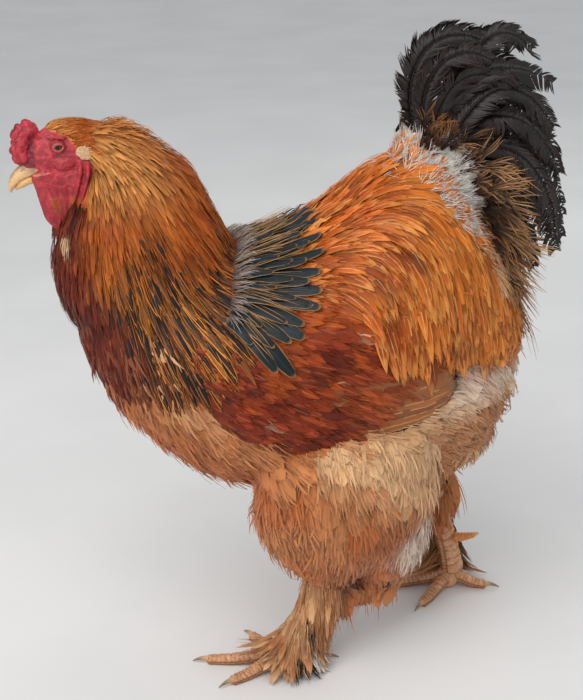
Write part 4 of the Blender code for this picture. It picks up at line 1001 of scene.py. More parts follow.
class COCK_OT_skin(bpy.types.Operator):
    """One skin for head, comb, wattles, neck, body, thighs and shanks, inside the plumage"""
    bl_idname = "cock.skin"
    bl_label = "Skin"

    def execute(self, context):
        s, h = sizes(), head_sizes()
        inset = -s.coat_depth
        body = [
            form_mesh("torso_body", torso, 60, 48, inset),
            form_mesh("neck_body", neck, 40, 40, inset),
            form_mesh("tail_body", tail_core, 30, 32, -0.006),
        ]
        for side in ("left", "right"):
            body.append(form_mesh("thigh_body", thighs[side], 40, 36, inset))
            body.append(form_mesh("fluff_body", fluffs[side], 24, 30, inset))
            body.append(form_mesh("shank_body", shanks[side], 30, 24, 0.0))
        body = join(body, "skin")
        apply_modifier(body, "REMESH", mode="VOXEL", voxel_size=h.body_voxel, use_smooth_shade=True)
        apply_modifier(body, "SMOOTH", factor=0.5, iterations=6)
        top = [form_mesh("head_body", head, 60, 48, -0.0012), form_mesh("throat_body", throat, 30, 40, -0.001)]
        top += comb_beads() + wattle_bodies()
        top = join(top, "head_skin")
        apply_modifier(top, "REMESH", mode="VOXEL", voxel_size=h.skin_voxel, use_smooth_shade=True)
        apply_modifier(top, "SMOOTH", factor=0.5, iterations=2)
        points, cavity = fold_face(points_of(top), normals_of(top))
        put_points(top, points)
        store(top, "cavity", cavity)
        skin = join([body, top] + [lid for side in (1, -1) for lid in eyelids(side)], "skin")
        points = points_of(skin)
        cavity = np.zeros(len(points), np.float32)
        skin.data.attributes["cavity"].data.foreach_get("value", cavity)
        tint = np.where((points[:, 2] < 0.13)[:, None], np.array(h.toe), body_tint(points))
        bare = face_mask(points) * (points[:, 2] > 0.50) * (points[:, 0] < -0.215)
        bare *= np.maximum(ease(np.abs(points[:, 1]), 0.006, 0.009), ease(points[:, 2], 0.560, 0.575))
        flush = np.clip(0.5 + 0.5 * noise(points, 0.006, 4) + 0.4 * noise(points, 0.0022, 9), 0, 1)
        red = mixed(h.face, h.comb, flush * 0.7)
        red = mixed(red, h.comb, 0.75 * ease(points[:, 2], 0.590, 0.560))
        red = mixed(red, h.comb, 0.8 * ease(points[:, 0], -0.279, -0.284) * ease(points[:, 2], 0.596, 0.602))
        # Painted shade: deep red in the folds, wrinkles and grooves between the comb's beads, by how deep they lie.
        red = mixed(red, h.deep, np.clip(cavity, 0, 1))
        # Painted shade: a darker ring of deep red in the socket round each eye.
        around_eye = np.hypot((points[:, 0] - EYE_PLACE[0]) / 1.25, points[:, 2] - EYE_PLACE[2])
        near = (np.abs(points[:, 1]) > 0.014) * bare
        red = mixed(red, h.deep, 0.5 * near * ease(around_eye, 0.0078, 0.0062) * ease(around_eye, 0.0040, 0.0050))
        red = mixed(red, h.rim, 0.85 * near * ease(around_eye, 0.0049, 0.0044))
        share = ease(points[:, 0], -0.288, -0.266)
        gape = np.abs(points[:, 2] - 0.5903 - 0.0022 * share**2) / (1.25 - 0.75 * share)
        gape = ease(gape, 0.0011, 0.0006) * (points[:, 0] < -0.2665) * (np.abs(points[:, 1]) > 0.009)
        red = mixed(red, (0.62, 0.27, 0.13), 0.75 * gape)
        paint(skin, "tint", mixed(tint, red, bare))
        store(skin, "bare", bare)
        skin.data.materials.clear()
        skin.data.materials.append(skin_material())
        settle(skin, (
            "torso", "neck", "head", "comb", "wattle_left", "wattle_right", "lobe_left", "lobe_right",
            "tail", "thigh_left", "thigh_right", "shank_left", "shank_right", "wing_left", "wing_right"))
        return {"FINISHED"}


def store(obj, name, values):
    """A number for each point."""
    layer = obj.data.attributes.new(name, "FLOAT", "POINT")
    layer.data.foreach_set("value", np.asarray(values, np.float32))


throat = Form([
    (-0.262, 0.0, 0.592, 0.015, 0.020, 0.016),
    (-0.240, 0.0, 0.588, 0.020, 0.030, 0.032),
    (-0.222, 0.0, 0.572, 0.024, 0.034, 0.038),
    (-0.210, 0.0, 0.545, 0.032, 0.044, 0.046),
    (-0.200, 0.0, 0.515, 0.042, 0.052, 0.058),
], 0.006, 0.010)


def comb_places():
    """A pea comb: three rows of beads up the forehead, the middle row the tallest."""
    line = np.array(COMB_LINE)
    places = []
    for row, (offset, back, size, count) in enumerate([
        (0.0, 0.0, 0.0070, 6), (0.0078, 0.0052, 0.0064, 5), (-0.0078, 0.0052, 0.0064, 5), (0.0, 0.0090, 0.0060, 3),
    ]):
        for n in range(count):
            share = (n + 0.5 * (6 - count)) / 5
            x, z = (np.interp(share * 3, range(4), line[:, i]) for i in range(2))
            big = size * (1.0 + 0.16 * math.sin(2.3 * n + 1.7 * row))
            places.append((x + back * (1 - 0.4 * share), offset * (1 - 0.2 * share), z - back * 0.9 * share, big))
    return np.array(places)


def comb_beads():
    made = [ball("comb_base", (-0.2885, 0.0, 0.621), (0.0108, 0.0080, 0.0235), (0, 22, 0))]
    for x, y, z, big in comb_places():
        made.append(ball("bead", (x, y, z), (big * 1.08, big * 0.74, big * 0.80), (0, 30, 0)))
    return made


def wattle_bodies():
    """Long wattles below the beak, the pleats behind the face, brows and cheeks."""
    made = []
    for side in (1, -1):
        y = -side * 0.0100
        made.append(form_mesh("wattle", Form([
            (-0.278, y, 0.588, 0.0052, 0.018, 0.0085),
            (-0.266, y * 1.15, 0.569, 0.0052, 0.026, 0.0155),
            (-0.258, y * 1.25, 0.550, 0.0048, 0.024, 0.0180),
            (-0.253, y * 1.20, 0.536, 0.0038, 0.015, 0.0120),
        ], 0.006, 0.006), 40, 32))
        y = -side * 0.0200
        for shift, inward, size in ((0.0030, 1.0, 1.0), (-0.0050, 0.95, 0.85)):
            made.append(form_mesh("pleat", Form([
                (-0.2310 + shift, y * inward, 0.6040, 0.0024 * size, 0.0022, 0.0022),
                (-0.2320 + shift, y * 1.04 * inward, 0.5900, 0.0034 * size, 0.0027, 0.0027),
                (-0.2370 + shift, y * 1.00 * inward, 0.5720, 0.0032 * size, 0.0026, 0.0026),
                (-0.2440 + shift, y * 0.80 * inward, 0.5520, 0.0026 * size, 0.0022, 0.0022),
            ], 0.003, 0.006), 30, 14))
        made.append(form_mesh("fold", Form([
            (-0.2745, -side * 0.0120, 0.5870, 0.0020, 0.0022, 0.0022),
            (-0.2700, -side * 0.0150, 0.5740, 0.0026, 0.0026, 0.0026),
            (-0.2640, -side * 0.0160, 0.5580, 0.0024, 0.0026, 0.0026),
            (-0.2590, -side * 0.0145, 0.5440, 0.0018, 0.0020, 0.0020),
        ], 0.003, 0.004), 30, 14))
        made.append(ball("brow", (-0.2590, -side * 0.0165, 0.6300), (0.0110, 0.0048, 0.0030), (0, 8, 0)))
        made.append(ball("cheek", (-0.2500, -side * 0.0150, 0.6030), (0.0130, 0.0066, 0.0075), (0, -10, 0)))
        made.append(ball("jaw", (-0.2690, -side * 0.0100, 0.5960), (0.0080, 0.0042, 0.0050), (0, 10, 0)))
    return made


def fold_face(points, normals):
    """Fine wrinkles on the face, lumps on the comb and pleats on the wattles, the eyes' sockets, and how deep
    each point lies in its folds."""
    comb = ease(points[:, 0], -0.278, -0.284) * ease(points[:, 2], 0.596, 0.602)
    bare = np.maximum(face_mask(points), comb)
    slow = noise(points, 0.012, 1)[:, None] * 0.004
    bent = (points + slow) @ np.array([[0.55, 0, 0.25], [0, 1, 0], [-0.45, 0, 1.0]])
    ridges = 1 - np.abs(noise(bent * (0.55, 0.7, 1.7), 0.0048, 6))
    fine = 1 - np.abs(noise(bent * (0.7, 1.0, 1.9), 0.0022, 8))
    low = ease(points[:, 2], 0.585, 0.570)
    pleat = 1 - np.abs(noise((points + slow) * (1.6, 1.0, 0.32), 0.0050, 11))
    face_out = 0.0010 * (ridges - 0.7) + 0.0006 * (fine - 0.7)
    out = face_out * (1 - low) + (0.0008 * (pleat - 0.7) + 0.0003 * (fine - 0.7)) * low
    lumps = 0.6 * noise(points, 0.0042, 21) + 0.4 * noise(points, 0.0019, 22)
    out = (out * (1 - comb) + 0.0015 * lumps * comb) * bare
    beads = comb_places()
    gap = (np.linalg.norm(points[:, None] - beads[None, :, :3], axis=2) / beads[None, :, 3]).min(axis=1)
    groove = comb * (0.9 * ease(gap, 0.82, 1.10) + 0.5 * ease(-lumps, 0.0, 0.6))
    cavity = np.clip(groove + (1 - comb) * np.clip(0.5 - out / 0.0008, 0, 0.75) * 0.8, 0, 1)
    points = points + normals * out[:, None]
    radius = head_sizes().eye_radius
    for side in (1, -1):
        centre = np.array([EYE_PLACE[0], -side * EYE_PLACE[1], EYE_PLACE[2]])
        way = points - centre
        reach = np.linalg.norm(way, axis=1)
        hole = np.hypot(way[:, 0] / 0.0064, way[:, 2] / 0.0050)
        push = (way[:, 1] * -side > 0) & (hole < 1.25) & (reach < radius + 0.004)
        goal = radius * np.where(hole < 1.0, 0.80, 0.80 + (hole - 1.0) * 1.0)
        points = np.where(push[:, None], centre + unit(way) * goal[:, None], points)
    return points, cavity


def eyelids(side):
    """The pale rim of the lids and the red folds round them, as long ovals that taper to the corners."""
    radius = head_sizes().eye_radius
    made = []
    centre = np.array([EYE_PLACE[0], -side * EYE_PLACE[1], EYE_PLACE[2]])
    around, ring = 72, 12
    phi = np.linspace(0, 2 * math.pi, around, endpoint=False)
    for wide, tall, thick, sit in (
        (0.0050, 0.0036, 0.00075, 1.03), (0.0063, 0.0050, 0.00110, 1.03), (0.0082, 0.0066, 0.00100, 0.94),
    ):
        px = wide * np.cos(phi) * (1 + 0.05 * np.cos(phi))
        pz = tall * np.sin(phi) * (1 - 0.16 * np.cos(phi) ** 2) + 0.10 * px
        depth = np.sqrt(np.maximum((radius * sit + 0.0002) ** 2 - px**2 - pz**2, 0.0000015))
        middle = centre + np.stack([px, -side * depth, pz], 1)
        along = unit(np.roll(middle, -1, 0) - np.roll(middle, 1, 0))
        outward = unit(middle - centre)
        across = np.cross(along, outward)
        turn = np.linspace(0, 2 * math.pi, ring, endpoint=False)
        grow = thick * (1.0 + 0.35 * np.clip(np.sin(phi), 0, 1) + 0.12 * np.sin(9 * phi) * (wide > 0.0055))
        tube = middle[:, None] + grow[:, None, None] * (
            np.cos(turn)[None, :, None] * outward[:, None] + np.sin(turn)[None, :, None] * across[:, None])
        i, j = (g.ravel() for g in np.meshgrid(np.arange(around), np.arange(ring), indexing="ij"))
        i2, j2 = (i + 1) % around, (j + 1) % ring
        quads = np.stack([i * ring + j, i * ring + j2, i2 * ring + j2, i2 * ring + j], 1)
        flat = tube.reshape(-1, 3)
        facing = np.cross(flat[quads[:, 1]] - flat[quads[:, 0]], flat[quads[:, 3]] - flat[quads[:, 0]])
        if (facing * (flat[quads[:, 0]] - middle[i])).sum() < 0:
            quads = quads[:, ::-1]
        made.append(mesh_object("lid", flat, None, quads))
    return made


class COCK_OT_eyes(bpy.types.Operator):
    """Eyeballs with iris, pupil and a wet clear coat"""
    bl_idname = "cock.eyes"
    bl_label = "Eyes"

    def execute(self, context):
        h = head_sizes()
        made, shader, web = new_material("wet_eye", 0.30, Coat_Weight=0.22, Coat_Roughness=0.04, Specular_IOR_Level=0.25)
        tint = web.add("Attribute", attribute_name="tint").outputs["Color"]
        place = web.add("TexCoord").outputs["Object"]
        fine = web.add("TexNoise", {"Vector": place, "Scale": 1600.0, "Detail": 3.0}).outputs[0]
        web.tree.links.new(web.scaled(tint, web.ramp(fine, 0.3, 0.7, 0.75, 1.25)), shader.inputs["Base Color"])
        link_bump(web, shader, fine, 0.00003)
        for side, name in ((1, "left"), (-1, "right")):
            centre = np.array([EYE_PLACE[0], -side * EYE_PLACE[1], EYE_PLACE[2]])
            eye = ball(f"eyeball_{name}", tuple(centre), (h.eye_radius,) * 3, (90, 0, 0), 64, 48)
            points = points_of(eye)
            way = (points - centre) / h.eye_radius
            look = unit(np.array([-0.10, -side * 1.0, -0.02]))
            off = np.degrees(np.arccos(np.clip(way @ look, -1, 1)))
            iris = mixed(h.iris, np.array(h.iris) * 0.35, ease(off, 22, 34))
            colour = mixed((0.004, 0.003, 0.003), iris, ease(off, 14.5, 17.0))
            paint(eye, "tint", mixed(colour, (0.06, 0.035, 0.03), ease(off, 34, 38)))
            bulge = 0.00045 * ease(off, 40, 10)
            put_points(eye, points + way * bulge[:, None])
            eye.data.materials.append(made)
            settle(eye, (f"eye_{name}",))
        return {"FINISHED"}


class COCK_OT_beak(bpy.types.Operator):
    """Upper and lower beak, with the hooked tip, dark ridge and nostrils"""
    bl_idname = "cock.beak"
    bl_label = "Beak"

    def execute(self, context):
        h = head_sizes()
        finish = horn_material("beak_horn_grain")
        upper = form_mesh("beak_top", Form(BEAK_UPPER, 0.001, 0.002), 70, 48)
        points = points_of(upper)
        for side in (1, -1):
            nostril = np.array([-0.2935, -side * 0.0088, 0.5945])
            way = points - nostril
            turned = np.stack([way[:, 0] * 0.82 + way[:, 2] * 0.57, way[:, 1], -way[:, 0] * 0.57 + way[:, 2] * 0.82], 1)
            hole = np.hypot(turned[:, 0] / 0.0030, turned[:, 2] / 0.0012)
            sunk = (points[:, 1] * -side > 0) * ease(hole, 1.15, 0.75)
            points[:, 1] += side * 0.0020 * sunk
        put_points(upper, points)
        u, angle, _, _ = Form(BEAK_UPPER, 0.001, 0.002).locate(points)
        ridge = ease(np.abs(angle), 60, 15) * ease(u, 0.05, 0.35)
        root = ease(points[:, 0], -0.303, -0.284) * ease(np.abs(angle), 108, 70)
        tint = mixed(h.horn, h.culmen, np.clip(0.70 * ridge + 0.65 * root + 0.20 * noise(points, 0.004, 3), 0, 1))
        paint(upper, "tint", tint)
        upper.data.materials.append(finish)
        settle(upper, ("beak_upper",))
        lower = form_mesh("beak_bottom", Form(BEAK_LOWER, 0.001, 0.002), 60, 40)
        points = points_of(lower)
        paint(lower, "tint", mixed(h.yellow, h.horn, np.clip(0.35 + 0.6 * noise(points, 0.004, 6), 0, 1)))
        lower.data.materials.append(finish)
        settle(lower, ("beak_lower",))
        return {"FINISHED"}


def toe_path(side, toe):
    """A toe from the foot's middle out to the root of its claw, and its direction on the floor."""
    foot = FEET[side]
    angle, length = TOES[toe]
    inward = 1.0 if side == "left" else -1.0
    turn = math.radians(foot["ahead"] - inward * angle)
    direction = np.array([-math.cos(turn), -math.sin(turn), 0.0])
    start = np.array([*foot["middle"], 0.016 if toe != "hind" else 0.020])
    end = start + direction * length
    end[2] = TOE_TIP - 0.0008
    return start, end, direction


def toe_form(side, toe):
    start, end, direction = toe_path(side, toe)
    stations = []
    for share, high, thick in ((0.0, 0.0, 1.15), (0.35, 0.0028, 1.0), (0.7, 0.0012, 0.95), (1.0, 0.0, 0.9)):
        middle = start + (end - start) * share + UP * high
        middle[2] = max(middle[2] - 0.008 * share * (1 - share) * 2, TOE_TIP - 0.0008)
        reach = TOE_THICK + (TOE_TIP - TOE_THICK) * share
        stations.append((*middle, reach * thick, reach * thick * 0.95, reach * thick * 0.95))
    return Form(stations, 0.006, 0.004, np.cross(direction, UP))


def scutes(plates, width=78.0, high=0.0019):
    """Overlapping plates on top, small lumps below and at the sides, and pads under the toe."""
    def shape(u, angle):
        phase = (u * plates + 0.16 * np.sin(np.radians(angle) * 2 + u * 23) + 0.12 * np.sin(u * 47)) % 1.0
        plate = (0.35 + 0.65 * phase) * (1 - ease(phase, 0.88, 1.0))
        top = ease(np.abs(angle), width + 14, width - 8)
        beads = np.abs(np.sin(u * plates * 2.2 * math.pi)) * np.abs(np.cos(np.radians(angle) * 5))
        pads = np.abs(np.sin(u * 3.5 * math.pi))
        under = ease(np.abs(angle), 120, 150)
        return high * (plate * top + 0.70 * beads * (1 - top)) + 0.0006 * pads * under - high * 0.6
    return shape


def above_floor(points, least=0.0):
    points[:, 2] = np.maximum(points[:, 2], least)
    return points


class COCK_OT_feet(bpy.types.Operator):
    """Scaly toes with their claws, bare inner shanks and spurs"""
    bl_idname = "cock.feet"
    bl_label = "Feet"

    def execute(self, context):
        h = head_sizes()
        scales, horn = scale_material(), horn_material("claw_horn_grain", 0.42)
        for side in ("left", "right"):
            shank = shanks[side]
            pieces = [form_mesh("toe", toe_form(side, toe), 110, 28, 0.0009, scutes(5 + TOES[toe][1] * 160)) for toe in TOES]
            pieces.append(ball("palm", (*FEET[side]["middle"], 0.013), (0.016, 0.014, 0.015)))
            pieces.append(form_mesh("shank", shank, 130, 40, 0.0004, scutes(17, 120.0, 0.0020)))
            foot = join(pieces, f"scaled_foot_{side}")
            points = above_floor(points_of(foot))
            put_points(foot, points)
            dirt = np.clip(0.5 + 0.6 * noise(points, 0.008, 3) + 0.5 * noise(points, 0.0025, 7), 0, 1)
            tint = mixed(h.toe, np.array(h.toe) * (0.62, 0.55, 0.5), 0.55 * dirt)
            raised = np.zeros(len(points), np.float32)
            foot.data.attributes["raised"].data.foreach_get("value", raised)
            # Darker where the surface sinks between and beside the scutes.
            tint = mixed(tint, np.array(h.toe) * (0.38, 0.26, 0.20), ease(raised, 0.0001, -0.0009))
            paint(foot, "tint", mixed(tint, np.array(h.toe) * 0.5, 0.6 * ease(points[:, 2], 0.004, 0.0)))
            foot.data.materials.append(scales)
            settle(foot, (f"foot_{side}",))
            for toe in TOES:
                _, end, direction = toe_path(side, toe)
                stations = []
                for share, drop in ((0.0, 0.0), (0.4, -0.0006), (0.75, 0.0006), (1.0, 0.0026)):
                    middle = end + direction * (0.0005 + (CLAW_LENGTH + 0.002) * share) + UP * (0.0010 - drop)
                    thick = CLAW_THICK * (1.0 - 0.80 * share)
                    stations.append((*middle, thick * 0.8, thick, thick))
                form = Form(stations, 0.002, 0.0015, np.cross(direction, UP))
                claw = form_mesh(f"nail_{side}_{toe}", form, 40, 24)
                points = above_floor(points_of(claw))
                put_points(claw, points)
                out = np.linalg.norm(points[:, :2] - end[:2], axis=1) / CLAW_LENGTH
                paint(claw, "tint", mixed(h.horn, h.culmen, 0.25 + 0.65 * ease(out, 0.2, 0.9)))
                claw.data.materials.append(horn)
                settle(claw, (f"claw_{side}_{toe}",))
            angle = -SPUR_TURN if side == "left" else SPUR_TURN
            root = shank.point(SPUR_PLACE, angle, -0.002)[0]
            way = unit(shank.point(SPUR_PLACE, angle, 0.01)[0] - shank.point(SPUR_PLACE, angle)[0])
            way = unit(way * np.array([1.0, 0.45, 0.0]) + UP * 0.12)
            stations = []
            for share, rise, thick in ((0.0, 0.0, 1.0), (0.4, 0.0, 0.86), (0.75, 0.0010, 0.62), (1.0, 0.0030, 0.34)):
                middle = root + way * SPUR_LENGTH * share + UP * rise
                stations.append((*middle, SPUR_THICK * thick, SPUR_THICK * thick, SPUR_THICK * thick))
            form = Form(stations, 0.002, 0.002, unit(np.cross(way, UP)))
            spur = form_mesh(f"horn_spur_{side}", form, 44, 28, 0.0, lambda u, a: 0.0004 * np.sin(u * 60))
            paint(spur, "tint", mixed((0.60, 0.22, 0.04), h.horn, ease(points_of(spur)[:, 0], root[0] + 0.02, root[0] + 0.03)))
            spur.data.materials.append(horn)
            settle(spur, (f"spur_{side}",))
        return {"FINISHED"}


def chart(u, angle, lowest=-180.0, highest=180.0):
    """Where roots lie on the unwrap of their form: angle across, place up."""
    across = (np.asarray(angle) - lowest) / (highest - lowest)
    return np.stack([0.01 + 0.98 * np.clip(across, 0, 1), 0.01 + 0.98 * np.clip(u, 0, 1)], 1)


def ring_tints(root, tip, places, power=1.0):
    """Tints along each feather, from its root's colour to its tip's. A root that is a darker copy of the tip's tint is
    painted shade where feathers overlap. Other roots are the feather's own colour.
    """
    share = np.asarray(places)[None, :, None] ** power
    return root[:, None, :] * (1 - share) + tip[:, None, :] * share


def fans(coat, path, up, places, width, root_tint, tint, spots, random, strands=6, fray=0.25, splay=1.0, thick=1.5,
         core=None, power=1.0, curl=0.15, tones=(0.0, 1.0), start=0.0):
    """Feathers made of loose strands, which spread from the root and end in a frayed tip."""
    count = len(path)
    width = np.broadcast_to(width, count)
    across = unit(np.cross(unit(np.gradient(path, axis=1)), up))
    rows = np.arange(count)[:, None]
    for j in range(strands):
        side = (2 * j - strands + 1) / max(strands - 1, 1) + random.normal(0, 0.14, count)
        end = np.clip(1 - 0.20 * side**2 - fray * random.random(count) ** 1.5, 0.3, 1)
        t = start + (end - start)[:, None] * WISP[None]
        k = np.clip(np.searchsorted(places, t) - 1, 0, len(places) - 2)
        f = ((t - places[k]) / (places[k + 1] - places[k]))[..., None]
        point, out, high = (grid[rows, k] * (1 - f) + grid[rows, k + 1] * f for grid in (path, across, up))
        open_out = (0.22 + 0.78 * ease(t, 0.0, 0.75)) * (splay if splay >= 1 else 1 - (1 - splay) * ease(t, 0.5, 1.0))
        shift = side[:, None] * width[:, None] / 2 * open_out
        wave = random.normal(0, curl, (count, 2)) * width[:, None]
        point = point + out * (shift + wave[:, :1] * t**2)[..., None] + high * (wave[:, 1:] * t**2)[..., None]
        shade = tint
        if core is not None:
            shade = mixed(tint, core[0], core[1] * (np.abs(side) < 0.55))
        narrow = np.array([1.0, 1.0, 0.72, 0.12])[None] * (width * thick / strands)[:, None]
        # root_tint is painted shade where a caller passes a darker copy of the tint. The coverts' dark roots are their
        # own colour.
        coat.add(point, high, narrow * random.uniform(0.7, 1.2, (count, 1)), ring_tints(root_tint, shade, start + (1 - start) * WISP, power),
                 (0, 0, 0), random.uniform(*tones, count), spots)


def grow(coat, u, angle, roots, heading, length, width, colour, forms, random, places=POINTED, shape=pointed,
         root=0.005, lift=0.0025, loose=0.0012, flow=None, turn=0.5, marks=None, vary=0.12, dark=0.6, strands=0, core=None,
         **fan):
    """Lays feathers over the forms, coloured and marked by where the part that shows comes to lie."""
    count = len(roots)
    rises = rise_of(places, root, lift, count, random, loose)
    path, up = lay(roots, heading, np.broadcast_to(length, count), places, rises, forms, flow, turn)
    seen = path[:, -2]
    tint = colour(seen) if callable(colour) else np.broadcast_to(colour, (count, 3))
    tint = np.clip(tint * (1 + vary * random.normal(0, 1, (count, 1))), 0.003, 0.97)
    # Painted shade: tint * dark darkens each feather towards its root, where the feathers over it shade it.
    if strands:
        inner = (core[0], core[1](seen)) if core else None
        fans(coat, path, up, places, width, tint * dark, tint, chart(u, angle), random, strands, core=inner, **fan)
        return
    mark = marks(seen) if marks else np.zeros((count, 3))
    coat.add(path, up, np.reshape(width, (-1, 1)) * shape(places)[None], ring_tints(tint * dark, tint, places), mark,
             random.random(count), chart(u, angle))


def pick(mask, *arrays):
    return [array[mask] for array in arrays]


def toward(x, z, count, random, spread):
    """Headings in the bird's upright plane, with a little spread."""
    flat = np.stack(np.broadcast_arrays(x, 0.0, z, np.zeros(count))[:3], 1)
    return flat + random.normal(0, spread, (count, 3))


def glints(tint, random, light=1.35, share=0.35):
    """Some strands catch the light."""
    return tint * np.where(random.random((len(tint), 1)) < share, light, 0.95)


class COCK_OT_crown(bpy.types.Operator):
    """Sleek small feathers of the crown, the pale ear tufts and the small feathers of the throat"""
    bl_idname = "cock.crown"
    bl_label = "Crown"

    def execute(self, context):
        random = np.random.default_rng(11)
        coat = Coat("coat_crown")
        for fine in (False, True):
            u, angle = scatter(head, (0.10, 0.985), (-118, 118), 0.0024, random)
            roots = head.point(u, angle)
            u, angle, roots = pick((face_mask(roots) < 0.4) & (roots[:, 2] > 0.600), u, angle, roots)
            count = len(u)
            length = (0.0095 + 0.012 * ease(u, 0.2, 0.9) + 0.016 * ease(u, 0.75, 0.97)) * random.uniform(0.75, 1.2, count)
            heading = toward(1.0, 0.10 - 0.5 * ease(u, 0.55, 1.0), count, random, 0.12 if fine else 0.08)
            wide = (0.0009 if fine else 0.0026) * random.uniform(0.7, 1.3, count)
            tint = (lambda p: glints(crown_tint(p), random, 1.3)) if fine else crown_tint
            grow(coat, u, angle, roots, heading, length, wide, tint, UPPER, random, WISP if fine else POINTED,
                 root=0.0012, lift=(0.0021 if fine else 0.0012) + 0.0030 * ease(u, 0.70, 0.95)[:, None], loose=0.0006)
        for side in (1, -1):
            number = 620
            x = -0.2335 + random.uniform(-1, 1, number) * 0.0070
            z = 0.6150 + random.uniform(-1, 1, number) * 0.0062
            keep = np.hypot((x + 0.2335) / 0.0070, (z - 0.6150) / 0.0062) < 1
            x, z = x[keep], z[keep]
            roots = np.stack([x, np.full(len(x), -side * 0.024), z], 1)
            place, turned = 0.3 + 0.3 * (z - 0.60) / 0.02, side * (140 + 30 * (x + 0.231) / 0.01)
            grow(coat, place, turned, roots, toward(0.9, -0.30, len(x), random, 0.16), random.uniform(0.003, 0.006, len(x)),
                 0.0014, (0.80, 0.50, 0.28), UPPER, random, WISP, root=0.0003, lift=0.0016, loose=0.0004, vary=0.07, dark=0.85)
        fringe = np.array([(-0.2515, -0.026, 0.537), (-0.2485, -0.034, 0.533)])
        for side in (1, -1):
            number = 26
            roots = mixed(fringe[0], fringe[1], random.random(number)) * (1, side, 1) + random.normal(0, 0.0012, (number, 3))
            grow(coat, np.full(number, 0.9), np.full(number, side * 150.0), roots, toward(0.25, -1.0, number, random, 0.10),
                 random.uniform(0.014, 0.030, number), 0.0010, (0.78, 0.50, 0.27), [(throat, None), (neck, None), (torso, None)],
                 random, WISP, root=0.0, lift=0.0060, loose=0.001)
        u, angle = scatter(throat, (0.10, 0.99), (90, 270), 0.0034, random)
        angle = (angle + 180) % 360 - 180
        roots = throat.point(u, angle)
        keep = (roots[:, 2] < 0.585) & (neck.locate(roots)[2] > -0.008)
        keep &= (face_mask(roots) < 0.5) | (np.abs(roots[:, 1]) < 0.011)
        u, angle, roots = pick(keep, u, angle, roots)
        count = len(u)
        length = np.minimum(random.uniform(0.018, 0.032, count), 0.014 + 1.4 * np.clip(0.585 - roots[:, 2], 0, 1))
        for wide, high in ((0.0048, 0.0012), (0.0010, 0.0022)):
            grow(coat, u, angle, roots, toward(0.25, -1.0, count, random, 0.08), length, wide, neck_tint,
                 [(throat, None), (neck, None), (torso, None)], random, root=0.002, lift=high, loose=0.0006)
        finish = vane_material("crown_feather", shaft_strength=0.15, streak=1.0, fineness=3.0, roughness=0.55)
        coat.build(finish)
        return {"FINISHED"}


class COCK_OT_hackle(bpy.types.Operator):
    """Long pointed neck feathers: straw behind the face, gold and orange, then striped with black"""
    bl_idname = "cock.hackle"
    bl_label = "Hackle"

    def execute(self, context):
        s, c = sizes(), colours()
        random = np.random.default_rng(21)
        finish = vane_material("hackle_feather", stripe=tuple(c.stripe), stripe_width=0.80, shaft_strength=0.20,
                               shaft=(0.90, 0.50, 0.18), streak=1.5, fineness=9.0, length=1.0, roughness=0.5)
        forms = OVER_WING + [(head, None), (throat, None)]

        def flow(points):
            nape = (1 + np.cos(np.radians(neck.locate(points)[1]))) / 2
            return np.stack([0.08 + 0.48 * nape, np.zeros(len(points)), -np.ones(len(points))], 1)

        def striped(seen):
            side = np.abs(neck.locate(seen)[1])
            low = ease(seen[:, 2] + 0.03 * noise(seen, 0.03, 5) + 0.05 * ease(side, 84, 112), 0.550, 0.465) * (1 - 0.85 * ease(side, 112, 140))
            return np.clip(low * (1.1 + 0.40 * random.normal(0, 1, len(seen))), 0, 1)

        def marks(seen):
            stripe = striped(seen)
            return np.stack([stripe, np.zeros(len(seen)), 0.2 * stripe], 1)

        for name, places, spacing in (("upper", (0.03, 0.46), 0.0040), ("lower", (0.46, 0.97), 0.0048)):
            coat = Coat(f"coat_hackle_{name}")
            for kind in ("vane", "fan", "strand"):
                gap = spacing * {"vane": 0.97, "fan": 2.1 if name == "lower" else 1.7, "strand": 1.25 if name == "lower" else 1.0}[kind]
                u, angle = scatter(neck, places, (-180, 180), gap, random, stretch=1.9)
                roots = neck.point(u, angle)
                keep = (cover(roots, [(torso, None), (head, None)])[0] > (-0.022 if kind == "vane" else -0.010))
                keep &= (face_mask(roots) < 0.4) & (throat.locate(roots)[2] > -0.012)
                u, angle, roots = pick(keep, u, angle, roots)
                count, side = len(u), np.abs(angle)
                length = s.hackle_length * (0.36 + 0.64 * ease(u, 0.02, 0.70)) * (1.0 - 0.42 * ease(side, 60, 170))
                length *= random.uniform(0.80, 1.15, count)
                heading = flow(roots) + random.normal(0, 0.05 if kind == "vane" else 0.09, (count, 3))
                nape = (1 + np.cos(np.radians(angle))) / 2
                heading[:, 0] += 0.9 * ease(u, 0.30, 0.05) * nape + 0.5 * ease(u, 0.25, 0.05)
                proud = (0.0050 * ease(u, 0.30, 0.12) * nape)[:, None] + 0.0012 * noise(roots, 0.016, 3)[:, None]
                wide = s.hackle_width * (0.42 + 0.58 * ease(u, 0.1, 0.6)) * random.uniform(0.75, 1.15, count)
                if kind == "vane":
                    grow(coat, u, angle, roots, heading, length, wide, neck_tint, forms, random, lift=0.0030 + proud,
                         loose=0.0020, flow=flow, turn=0.25, marks=marks, vary=0.20, dark=0.35)
                elif kind == "fan":
                    grow(coat, u, angle, roots, heading, length, wide * 0.9, lambda p: glints(neck_tint(p), random), forms,
                         random, lift=0.0034 + proud, loose=0.0014, flow=flow, turn=0.25, vary=0.15, dark=0.45, strands=4,
                         core=((0.012, 0.008, 0.006), striped), splay=0.35, thick=1.0, fray=0.2, power=0.7)
                else:
                    def shade(p):
                        dark = (random.random(len(p)) < 0.5 * striped(p))[:, None]
                        return np.where(dark, (0.014, 0.009, 0.007), glints(neck_tint(p), random, 1.5, 0.4))
                    grow(coat, u, angle, roots, heading, length * random.uniform(0.5, 1.0, count),
                         0.0008 * random.uniform(0.7, 1.6, count), shade, forms,
                         random, WISP, root=0.001, lift=0.0048 + proud, loose=0.0018, flow=flow, turn=0.3, dark=0.6)
            coat.build(finish)
        return {"FINISHED"}


